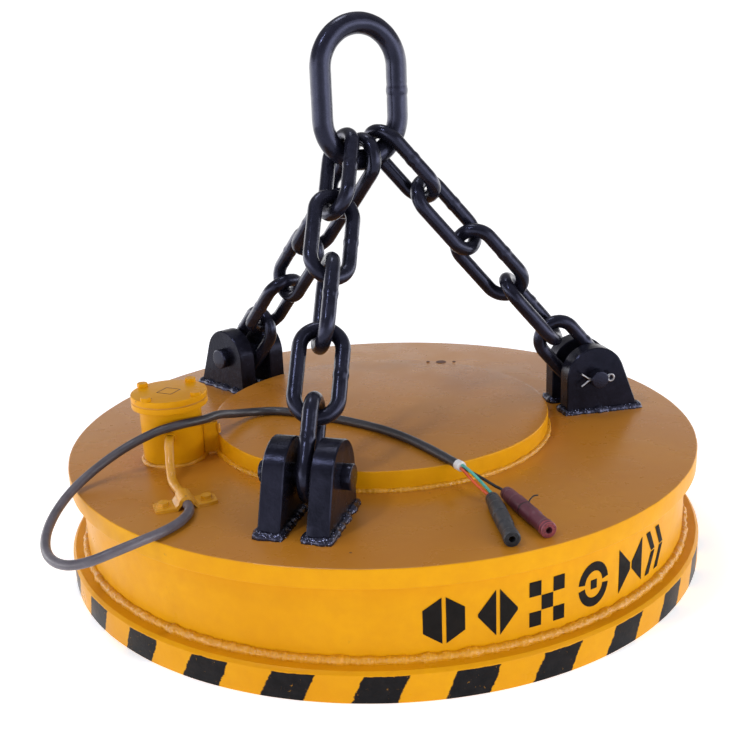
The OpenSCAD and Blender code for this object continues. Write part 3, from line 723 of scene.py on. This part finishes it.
def ear_outline():
    reach = math.hypot(EAR_FOOT, PIN_Z)
    a = math.acos(EAR_ROUND / reach) - math.atan2(PIN_Z, EAR_FOOT)
    points = [(-EAR_ROUND, 0.0), (EAR_FOOT, 0.0)]
    for i in range(25):
        t = a + (math.pi - a) * i / 24
        points.append((EAR_ROUND * math.cos(t), PIN_Z + EAR_ROUND * math.sin(t)))
    return points


def lug_matrix(k):
    a = math.radians(LUG_AZ[k])
    return Matrix.Translation((0, 0, BODY_H)) @ Matrix.Rotation(a, 4, "Z") @ Matrix.Translation((PIN_R, 0, 0))


def bored_ear(low, high, seed):
    """An ear plate with its pin hole: front and back faces are fans between outline and bore."""
    outer = ear_outline()
    n = 72
    ring, hole = [], []
    run = [0.0]
    pts = outer + [outer[0]]
    for p, q in zip(pts, pts[1:]):
        run.append(run[-1] + math.dist(p, q))
    for i in range(n):
        want = run[-1] * i / n
        k = 0
        while run[k + 1] < want:
            k += 1
        t = (want - run[k]) / (run[k + 1] - run[k])
        ring.append((pts[k][0] + (pts[k + 1][0] - pts[k][0]) * t, pts[k][1] + (pts[k + 1][1] - pts[k][1]) * t))
    keep = set()
    for corner in outer[:2]:
        j = min((i for i in range(n) if i not in keep), key=lambda i: math.dist(ring[i], corner))
        ring[j] = corner
        keep.add(j)
    for x, z in ring:
        a = math.atan2(z - PIN_Z, x)
        hole.append(((PIN_D / 2 + 0.0001) * math.cos(a), PIN_Z + (PIN_D / 2 + 0.0001) * math.sin(a)))
    edge = 0.0016

    def inset(p):
        v = Vector((-p[0], PIN_Z * 0.8 - p[1])).normalized() * edge
        return p[0] + v.x, max(p[1] + v.y, 0.0)

    inner = [inset(p) for p in ring]
    thick = high - low
    levels = [(ring, low + edge), (ring, low + thick * 0.33), (ring, low + thick * 0.66), (ring, high - edge),
              (inner, high), (hole, high), (hole, low), (inner, low)]
    verts = []
    for row, y in levels:
        for x, z in row:
            d = 0.0
            if row is ring and z > 0.002:
                d = (-0.0005 * abs(grain((x, y, z), 120, seed))
                     - 0.0002 * abs(grain((x * 3, y, z * 3), 200, seed)))
            v = Vector((x, z - PIN_Z)).normalized() * d
            verts.append(Vector((x + v.x, y, z + v.y)))
    return verts, ring_faces(len(levels), n, closed=True)


for k, leg in enumerate(LEG_NAMES):
    where = lug_matrix(k)
    for side, letter in ((-1, "a"), (1, "b")):
        low, high = sorted((side * EAR_GAP / 2, side * (EAR_GAP / 2 + EAR_T)))
        shell = moved(bored_ear(low, high, 3.0 * k + side), where)
        add(f"{leg}_ear_plate_{letter}", *shell, BLACK_CUT, slot="black_enamel",
            replaces=[f"{leg}_lug_ear_{letter}"], sharp=30)
        corners = [(-EAR_ROUND, low), (EAR_FOOT, low), (EAR_FOOT, high), (-EAR_ROUND, high)]
        loop = []
        for c in range(4):
            p, q = Vector(corners[c]), Vector(corners[(c + 1) % 4])
            steps = max(4, int((q - p).length / 0.0022))
            for s in range(steps):
                t = s / steps
                w = p.lerp(q, t)
                loop.append(where @ Vector((w.x, w.y, 0.0012)))
        bead(loop, 0.0060, BLACK_WELD, f"{leg}_ear_weld_{letter}", seed=5 + 3 * k + side, slot="black_enamel",
             replaces=["lug_weld_beads"], closed=True, rough=0.5)

    out = EAR_GAP / 2 + EAR_T
    shank = rounded([(0, -out - PIN_TAIL), (PIN_D / 2, -out - PIN_TAIL), (PIN_D / 2, out),
                     (PIN_HEAD_R, out), (PIN_HEAD_R, out + PIN_HEAD_T), (0, out + PIN_HEAD_T)],
                    [0, 0.0018, 0, 0.0006, 0.0022, 0])
    turn_y = Matrix.Translation((0, 0, PIN_Z)) @ Matrix.Rotation(math.radians(-90), 4, "X")
    head_share = 0.952  # the head as forged is a little smaller than the CAD's
    pin = lathe([(r * head_share if z >= out else r, z) for r, z in shank], 48)
    add(f"{leg}_pin_body", *moved(pin, where @ turn_y), BLACK, slot="black_enamel",
        replaces=["lug_pins"], sharp=40)

    cotter = Parts()
    cy = -out - 0.009
    eye = [where @ Vector((PIN_D / 2 + 0.006 + 0.005 * math.cos(t), cy, PIN_Z + 0.005 * math.sin(t)))
           for t in np.linspace(math.radians(-150), math.radians(150), 22)]
    cotter.take(*tube(eye, 0.0015, 10))
    for s in (-1, 1):
        leg_line = [Vector((PIN_D / 2 + 0.0035, cy, PIN_Z + s * 0.0014)), Vector((0, cy, PIN_Z + s * 0.0014)),
                    Vector((-PIN_D / 2 - 0.001, cy, PIN_Z + s * 0.0014)),
                    Vector((-PIN_D / 2 - 0.007, cy, PIN_Z + s * 0.0048)),
                    Vector((-PIN_D / 2 - 0.0138, cy, PIN_Z + s * 0.0094))]
        cotter.take(*tube([where @ p for p in smooth_line(leg_line, 0.0012)], 0.00145, 10))
    add(f"{leg}_split_pin_wire", cotter.v, cotter.f, BLACK if k == 0 else ZINC, slot="zinc",
        replaces=["split_pins"])

# ---------------------------------------------------------------- chain


def link_line(wire, length, width, count):
    """Centreline of a link in its own X and Y."""
    r = (width + wire) / 2
    s = (length + wire) / 2 - r
    total = 4 * s + math.tau * r
    pts = []
    for i in range(count):
        d = total * i / count
        if d < 2 * s:
            pts.append(Vector((-s + d, r, 0)))
        elif d < 2 * s + math.pi * r:
            a = (d - 2 * s) / r
            pts.append(Vector((s + r * math.sin(a), r * math.cos(a), 0)))
        elif d < 4 * s + math.pi * r:
            pts.append(Vector((s - (d - 2 * s - math.pi * r), -r, 0)))
        else:
            a = (d - 4 * s - math.pi * r) / r
            pts.append(Vector((-s - r * math.sin(a), -r * math.cos(a), 0)))
    return pts


def forged_link(wire, length, width, seed, bump, count=110, sides=24):
    """Bent round bar with the flash-weld collar on one long side and light forging dents."""
    line = link_line(wire, length, width, count)
    r = (width + wire) / 2

    def size(i):
        p = line[i]
        grow = 0.0
        if p.y > r * 0.98:
            d = abs(p.x)
            grow = bump * (math.exp(-(d / 0.0042) ** 2) - 0.35 * math.exp(-((d - 0.0075) / 0.0022) ** 2))
            grow += bump * 0.35 * grain((p.x * 2, seed, 0), 300, seed) * math.exp(-(d / 0.006) ** 2)
        return wire / 2 - 0.00012 + grow

    def wave(p, d):
        return 0.00016 * grain(p, 130, seed) + 0.00006 * grain(p, 420, seed + 3)

    return tube(line, size, sides, closed=True, wave=wave)


def spin(v, axis, a):
    return Matrix.Rotation(a, 3, axis) @ v


yaw_x = Vector((math.cos(math.radians(M_YAW)), math.sin(math.radians(M_YAW)), 0))
bow_r = (M_W + M_WIRE) / 2
bow_drop = (M_L + M_WIRE) / 2 - bow_r
UP = Vector((0, 0, 1))

for k, leg in enumerate(LEG_NAMES):
    az = math.radians(LUG_AZ[k])
    radial = Vector((math.cos(az), math.sin(az), 0))
    tangent = Vector((-math.sin(az), math.cos(az), 0))
    pin_at = radial * PIN_R + UP * PIN_Z
    h = math.radians(HOOKS[k])
    hook = M_AT + yaw_x * (bow_r * math.sin(h)) - UP * (bow_drop + bow_r * math.cos(h))
    way = (hook - pin_at).normalized()
    play = (5 * LINK_L - PIN_D / 2 - M_WIRE / 2 - (hook - pin_at).length) / 6
    for i in range(5):
        centre = pin_at + way * (LINK_L / 2 - PIN_D / 2 - play + i * (LINK_L - play)) + UP * BODY_H
        normal = spin(tangent, way, math.radians(TWIST[k][i] + 90 * (i % 2)))
        normal = (normal - way * normal.dot(way)).normalized()
        m = axes(centre, way, normal.cross(way), normal)
        shell = moved(forged_link(WIRE, LINK_L, LINK_W, 1.7 * k + 5.3 * i + 1, 0.0007), m)
        name = f"{leg}_link_{i + 1}"
        add(f"{name}_forging", *shell, BLACK, body=name, slot="black_enamel", replaces=[name], sharp=60)

m = axes(M_AT + UP * BODY_H, UP, UP.cross(yaw_x).cross(UP), UP.cross(yaw_x))
add("master_link_forging", *moved(forged_link(M_WIRE, M_L, M_W, 9.1, 0.0009, 160, 28), m), BLACK,
    body="master_link", slot="black_enamel", replaces=["master_link"], sharp=60)

# ---------------------------------------------------------------- terminal box


def on_box(turn=0.0):
    return Matrix.Translation(BOX) @ Matrix.Rotation(math.radians(turn), 4, "Z")


flange_z = BOX_H - COVER_T - GASKET_T - FLANGE_T
seal_z = flange_z + FLANGE_T
seal_r = COVER_D / 2 - 0.0006
body = rounded([(BOX_IN_R, 0), (BOX_D / 2, 0), (BOX_D / 2, flange_z), (COVER_D / 2, flange_z),
                (COVER_D / 2, seal_z), (BOX_IN_R, seal_z)], [0, 0, 0.0015, 0.0012, 0.0008, 0])
add("terminal_box_body", *moved(lathe(body, 96), on_box()), PAINT, replaces=["terminal_box"])
gasket = rounded([(BOX_IN_R, seal_z), (seal_r, seal_z), (seal_r, seal_z + GASKET_T),
                  (BOX_IN_R, seal_z + GASKET_T)], [0, 0.0004, 0.0004, 0])
add("gasket_ring", *moved(lathe(gasket, 96), on_box()), GASKET, slot="gasket_rubber", replaces=["cover_gasket"])
lid = rounded([(0, BOX_H - COVER_T), (COVER_D / 2, BOX_H - COVER_T), (COVER_D / 2, BOX_H), (0, BOX_H)],
              [0, 0.0008, 0.0014, 0])
add("cover_disc", *moved(lathe(lid, 96), on_box()), PAINT, replaces=["terminal_box_cover"])

cover_mark = Parts()
for i in range(4):
    turn = on_box(turn=20 + 90 * i) @ Matrix.Translation((0, 0, BOX_H))
    corner = [turn @ Vector((x, y, -MARK_T)) for x, y in ((0.0170, 0), (0, 0.0170), (0, 0.0152), (0.0152, 0))]
    cover_mark.take(corner + [v + UP * 0.0004 for v in corner],
                    [[3, 2, 1, 0], [4, 5, 6, 7], [0, 1, 5, 4], [1, 2, 6, 5], [2, 3, 7, 6], [3, 0, 4, 7]])
add("cover_mark", cover_mark.v, cover_mark.f, STAMP)

bolts = Parts()
for i in range(4):
    spot = on_box(turn=-30 + 90 * i) @ Matrix.Translation((0.047, 0, BOX_H)) @ Matrix.Rotation(0.3 * i, 4, "Z")
    bolts.take(*moved(hexagon_head(BOLT_ACROSS, BOLT_HEAD), spot))
add("cover_bolt_heads", bolts.v, bolts.f, PAINT, replaces=["cover_bolts"], sharp=25)

loop = [BOX + Vector(((BOX_D / 2 + 0.0005) * math.cos(t), (BOX_D / 2 + 0.0005) * math.sin(t), 0.0008))
        for t in np.linspace(0, math.tau, 120, endpoint=False)]
bead(loop, 0.0034, PAINT_WELD, "box_base_weld", seed=31, closed=True, rough=0.55)

# duct block between box and boss, with its welds
way = Vector((-BOX.x, -BOX.y, 0)).normalized()
across = Vector((-way.y, way.x, 0))
near = BOSS_D / 2 - 0.0008
far = math.hypot(BOX.x, BOX.y) - BOX_D / 2 + 0.001
outline = rounded([(-DUCT_SIDE, 0), (DUCT_SIDE, 0), (DUCT_SIDE, DUCT_H), (-DUCT_SIDE, DUCT_H)],
                  [0, 0, 0.002, 0.002], 3)
n = len(outline)
verts = [-way * d + across * x + UP * (BODY_H + z) for d in np.linspace(near, far, 5) for x, z in outline]
faces = ring_faces(5, n)
faces += [list(range(n - 1, -1, -1)), [4 * n + j for j in range(n)]]
add("duct_block", verts, faces, PAINT, replaces=["lead_duct"])
for s in (-1, 1):
    line = [-way * d + across * (s * 0.0125) + UP * (BODY_H + 0.001) for d in np.linspace(near, far - 0.004, 6)]
    bead(line, 0.003, PAINT_WELD, f"duct_weld_{'a' if s < 0 else 'b'}", seed=41 + s, rough=0.5)
    line = [-way * (near - 0.001) + across * (s * DUCT_SIDE) + UP * (BODY_H + z)
            for z in np.linspace(0.030, 0.044, 4)]
    bead(line, 0.0022, PAINT_WELD, f"duct_corner_weld_{'a' if s < 0 else 'b'}", seed=44 + s, rough=0.5)

# gland stub
turn = math.radians(-84)
g_way = Vector((math.cos(turn), math.sin(turn), 0))
g_side = Vector((-g_way.y, g_way.x, 0))
gland = rounded([(0.0062, 0.0405), (0.0080, 0.0405), (0.0080, 0.047), (0.0062, 0.047)], [0, 0, 0.0008, 0.0005])
m = axes(BOX + UP * 0.043, g_side, UP, g_way)
add("gland_stub", *moved(lathe(gland, 40), m), PAINT, replaces=["cable_gland"])

# ---------------------------------------------------------------- saddle clamp

strap = []
arch = 0.0063
strap_t, strap_w = 0.004, 0.030
for x in (-0.039, -0.034, -0.022, -0.0125):
    strap.append((x, 0.0))
for a in np.linspace(180, 0, 15):
    strap.append((arch * math.cos(math.radians(a)), 0.007 + arch * math.sin(math.radians(a))))
for x in (0.0125, 0.022, 0.034, 0.039):
    strap.append((x, 0.0))
strap[4] = (-arch, 0.0068)
line = [Vector((x, 0, z)) for x, z in strap]
high_line = []
for i, p in enumerate(line):
    a, b = line[max(0, i - 1)], line[min(len(line) - 1, i + 1)]
    w = (b - a).normalized()
    nrm = Vector((-w.z, 0, w.x))
    high_line.append(p + nrm * strap_t)
verts = []
ys = [-0.5, -0.3, 0.3, 0.5]
for i in range(len(line)):
    u = (i / (len(line) - 1) - 0.5) * 2
    w = strap_w * (1.0 - 0.25 * max(0, abs(u) - 0.86) / 0.14)
    lift = 0.0006 * grain((u, 0, 0), 4, 3)
    for y in ys:
        p = line[i]
        verts.append(Vector((p.x, y * w, p.z)))
    for y in reversed(ys):
        p = high_line[i]
        verts.append(Vector((p.x, y * w * (0.97 if abs(y) == 0.5 else 1), p.z + abs(lift))))
n = 2 * len(ys)
faces = ring_faces(len(line), n)
faces.append(list(range(n - 1, -1, -1)))
faces.append([(len(line) - 1) * n + j for j in range(n)])
clamp_at = Matrix.Translation(CLAMP) @ Matrix.Rotation(math.radians(20), 4, "Z")
add("clamp_strap", *moved((verts, faces), clamp_at), PAINT_WELD, replaces=["saddle_clamp"], sharp=50)
heads = Parts()
for s in (-1, 1):
    spot = clamp_at @ Matrix.Translation((s * 0.027, 0, 0.004)) @ Matrix.Rotation(0.2 + s, 4, "Z")
    heads.take(*moved(hexagon_head(BOLT_ACROSS, BOLT_HEAD), spot))
    heads.take(*moved(disc_shell(0.0088, 0.0012, 0.0004, -0.0006, 32), spot))
add("clamp_bolt_heads", heads.v, heads.f, PAINT_WELD, replaces=["clamp_bolts"], sharp=30)

# ---------------------------------------------------------------- cable


def over_plate(route):
    return [Vector((x * MM, y * MM, z * MM + BODY_H)) for x, y, z in route]


LEAD = over_plate([
    (-286.9, -122.8, 43), (-284.9, -141.3, 43), (-283.9, -151, 42.5), (-282.8, -161, 38.5),
    (-281, -171, 30), (-279.5, -181, 20), (-277, -192, 11.5), (-273, -205, 7.5),
    (-267, -219, 7), (-260, -234, 7), (-253.1, -247.9, 7), (-242.9, -276.1, 7)])
CORD = over_plate([
    (-242.9, -276.1, 7), (-237.8, -290.2, 7), (-238.5, -309, 7), (-246, -331, 7),
    (-261, -353, 7), (-282, -375, 7), (-308, -391, 3), (-336, -397, -5), (-362, -390, -12),
    (-384, -371, -16), (-401, -343, -17), (-411, -309, -14), (-413, -274, -8),
    (-408, -241, 0), (-398, -210, 8), (-381, -183, 18), (-357, -162, 31), (-328, -150, 45),
    (-296, -146, 58), (-265, -137, 63), (-243, -112, 59), (-227, -80, 54), (-208, -46, 43),
    (-186, -22, 36), (-157, -15, 34), (-127, -24, 34), (-95, -41, 34), (-62, -60, 34),
    (-30, -83, 34), (2, -110, 34), (32, -144, 34), (59, -184, 34), (79, -218, 34),
    (95, -247, 34)])
RED = over_plate([(96.9, -255.1, 32.7), (99.8, -260.4, 32.2), (107, -270, 26), (116, -279, 18.5),
                  (124, -285, 12.5), (127.9, -289.7, 10), (128.4, -295.7, 10)])
GREEN = over_plate([(98.9, -254, 36.6), (101.8, -259.3, 36.2), (110, -269, 31.5), (119, -277, 24),
                    (127, -282.5, 16), (132.9, -288.8, 10.4), (133.5, -295.2, 10)])
DARK = over_plate([(100.8, -252.9, 32.7), (103.7, -258.2, 32.2), (113, -264, 28.5), (125, -268, 22),
                   (137, -270.5, 14.5), (144.5, -272, 10.6), (147.6, -275.9, 10), (149.5, -281.6, 10)])

lead_line = smooth_line(LEAD, 0.004)
lumps = tube(lead_line, 0.0060, 20, wave=lambda p, d: 0.00035 * grain(p, 90, 4) + 0.0001 * grain(p, 300, 2))
add("painted_lead", *lumps, PAINT_WELD, replaces=["clamped_lead"])

cord_line = smooth_line(CORD, 0.005)
cable = add("loose_cable", *tube(cord_line, 0.0060, 24, wave=lambda p, d: 0.00008 * grain(p, 60, 7)), CABLE,
            slot="cable_rubber", replaces=["free_cable"])

end_way = (cord_line[-1] - cord_line[-3]).normalized()
end_at = cord_line[-1]
side = end_way.orthogonal().normalized()
m = axes(end_at, side, end_way.cross(side), end_way)
wrap = rounded([(0, -0.003), (0.0066, -0.003), (0.0064, 0.002), (0.0067, 0.0035), (0.0064, 0.0075),
                (0.0052, 0.008), (0, 0.008)], [0, 0.0006, 0.0006, 0.0006, 0.001, 0.0006, 0])


def torn_wave(a, r, z):
    """The wrap's uneven side and torn end."""
    end = 0.0011 * grain((math.cos(a), math.sin(a), 0), 2.5, 8) if z > 0.006 else 0
    return 0.0004 * grain((math.cos(a), math.sin(a), z * 90), 2, 5), end


sleeve = add("jacket_end_wrap", *moved(lathe(wrap, 40, torn_wave), m), WHITE_TAPE, slot="jacket_end",
             replaces=["jacket_sleeve"])

for name, route, mat in (("red", RED, RED_CORE), ("green", GREEN, GREEN_CORE), ("black", DARK, BLACK_CORE)):
    line = smooth_line(route, 0.0015)
    add(f"core_{name}_wire", *tube(line, 0.0019, 14), mat, slot=f"core_{name}",
                     replaces=[f"core_{name}"])

# ---------------------------------------------------------------- connectors


def connector_lip(tip, turn, name, lip, slot):
    """The flared lip round a connector's socket."""
    a = math.radians(turn)
    way = Vector((math.cos(a), math.sin(a), 0))
    origin = Vector((tip[0] * MM, tip[1] * MM, BODY_H + 0.010))
    side = Vector((way.y, -way.x, 0))
    m = axes(origin, side, (-way).cross(side), -way)
    ring = rounded([(0.0041, 0.0), (0.0088, 0.0), (0.0099, 0.0009), (0.01005, 0.0060), (0.0096, 0.0066),
                    (0.0041, 0.0020)], [0.0002, 0.0006, 0.0008, 0.0008, 0.0002, 0.0002])
    add(name, *moved(lathe(ring, 56), m), lip, slot=slot)
    return origin, way, side


for node, mat in (("connector_black", CONN_BLACK), ("connector_red", CONN_MAROON)):
    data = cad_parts[node].data
    data.materials.clear()
    data.materials.append(mat)
    data.polygons.foreach_set("use_smooth", [True] * len(data.polygons))
    data.set_sharp_from_angle(angle=math.radians(35))
connector_lip((141, -410), -85, "connector_black_lip", CONN_BLACK, "connector_black")
maroon_tip, maroon_way, maroon_side = connector_lip((185, -391), -72, "connector_maroon_lip", CONN_LIP,
                                                    "connector_maroon")

# cable tie round the maroon connector's waist, with its cut tail
tie = Parts()
mid = maroon_tip - maroon_way * 0.0607
ring = [mid + (maroon_side * math.cos(t) + UP * math.sin(t)) * 0.0088
        for t in np.linspace(0, math.tau, 40, endpoint=False)]
tie.take(*tube(ring, 0.0010, 8, closed=True))
knot = mid + (maroon_side * -0.45 + UP * 0.89) * 0.0102
tail = [knot, knot + UP * 0.003 - maroon_side * 0.002,
        knot + UP * 0.006 - maroon_side * 0.007 - maroon_way * 0.001,
        knot + UP * 0.0065 - maroon_side * 0.012]
tie.take(*tube(smooth_line(tail, 0.001), 0.0009, 8))
add("connector_tie", tie.v, tie.f, TIE, slot="connector_black")

# ---------------------------------------------------------------- floor, world and lights


def stage_material():
    n = Nodes("studio_floor")
    n.colour(n.mix(n.ramp(n.noise(0.8, 3), 0.3, 0.7), (0.93, 0.93, 0.935), (0.95, 0.95, 0.955)))
    n.rough(n.ramp(n.noise(3, 2), 0.3, 0.7, 0.9, 1.0))
    n.fix(Specular_IOR_Level=0.0, Emission_Color=(1.0, 1.0, 1.0, 1.0), Emission_Strength=0.52)
    return n.mat


floor_mesh = bpy.data.meshes.new("studio_floor")
bm = bmesh.new()
bmesh.ops.create_circle(bm, cap_ends=True, segments=96, radius=2.7)
bm.to_mesh(floor_mesh)
bm.free()
floor = bpy.data.objects.new("studio_floor", floor_mesh)
bpy.context.scene.collection.objects.link(floor)
floor.location.z = -0.0002
floor_mesh.materials.append(stage_material())

world = bpy.data.worlds.new("studio")
bpy.context.scene.world = world
world.use_nodes = True
tree = world.node_tree
tree.nodes.clear()
out = tree.nodes.new("ShaderNodeOutputWorld")
back = tree.nodes.new("ShaderNodeBackground")
coord = tree.nodes.new("ShaderNodeTexCoord")
split = tree.nodes.new("ShaderNodeSeparateXYZ")
ramp = tree.nodes.new("ShaderNodeValToRGB")
tree.links.new(coord.outputs["Generated"], split.inputs[0])
tree.links.new(split.outputs[2], ramp.inputs[0])
tree.links.new(ramp.outputs[0], back.inputs[0])
tree.links.new(back.outputs[0], out.inputs[0])
# white up to just over the horizon, which is all the camera sees, and dimmer above it, for the glossy tops
stops = ramp.color_ramp.elements
stops[0].position, stops[0].color = 0.0, (1.0, 1.0, 1.0, 1)
stops[1].position, stops[1].color = 1.0, (0.45, 0.45, 0.48, 1)
for spot, grey in ((0.09, 1.0), (0.20, 0.62), (0.34, 0.46), (0.45, 0.24)):
    stop = stops.new(spot)
    stop.color = (grey, grey * 0.985, grey * 1.02, 1)


def world_math(op, a, b):
    node = tree.nodes.new("ShaderNodeMath")
    node.operation = op
    for socket, value in zip(node.inputs, (a, b)):
        if hasattr(value, "links"):
            tree.links.new(value, socket)
        else:
            socket.default_value = value
    return node.outputs[0]


# more light from the left and right, low down
low = tree.nodes.new("ShaderNodeMapRange")
tree.links.new(split.outputs[2], low.inputs[0])
for socket, value in zip(list(low.inputs)[1:5], (0.16, 0.25, 3.4, 0.0)):
    socket.default_value = value
glow = world_math("MULTIPLY", world_math("MULTIPLY", split.outputs[0], split.outputs[0]), low.outputs[0])
tree.links.new(world_math("MULTIPLY", world_math("ADD", glow, 1.0), 1.05), back.inputs[1])


def area(name, spot, target, size, power, colour):
    """A round lamp at spot, turned to the target."""
    data = bpy.data.lights.new(name, "AREA")
    data.shape = "DISK"
    data.size = size
    data.energy = power
    data.color = colour
    lamp = bpy.data.objects.new(name, data)
    bpy.context.scene.collection.objects.link(lamp)
    lamp.location = spot
    lamp.rotation_euler = (Vector(target) - Vector(spot)).to_track_quat("-Z", "Y").to_euler()


area("key_front_left", (-2.8, -2.6, 1.3), (0, 0, 0.15), 2.2, 14, (1.0, 0.98, 0.95))
area("fill_right", (3.2, -2.2, 1.5), (0, 0, 0.2), 3.0, 48, (0.98, 0.98, 1.0))
area("overhead", (-0.4, 0.7, 3.2), (0, 0, 0.2), 0.9, 14, (0.93, 0.95, 1.0))
area("glint", (-1.3, -1.2, 2.6), (0, 0, 0.4), 0.3, 16, (0.82, 0.86, 1.0))
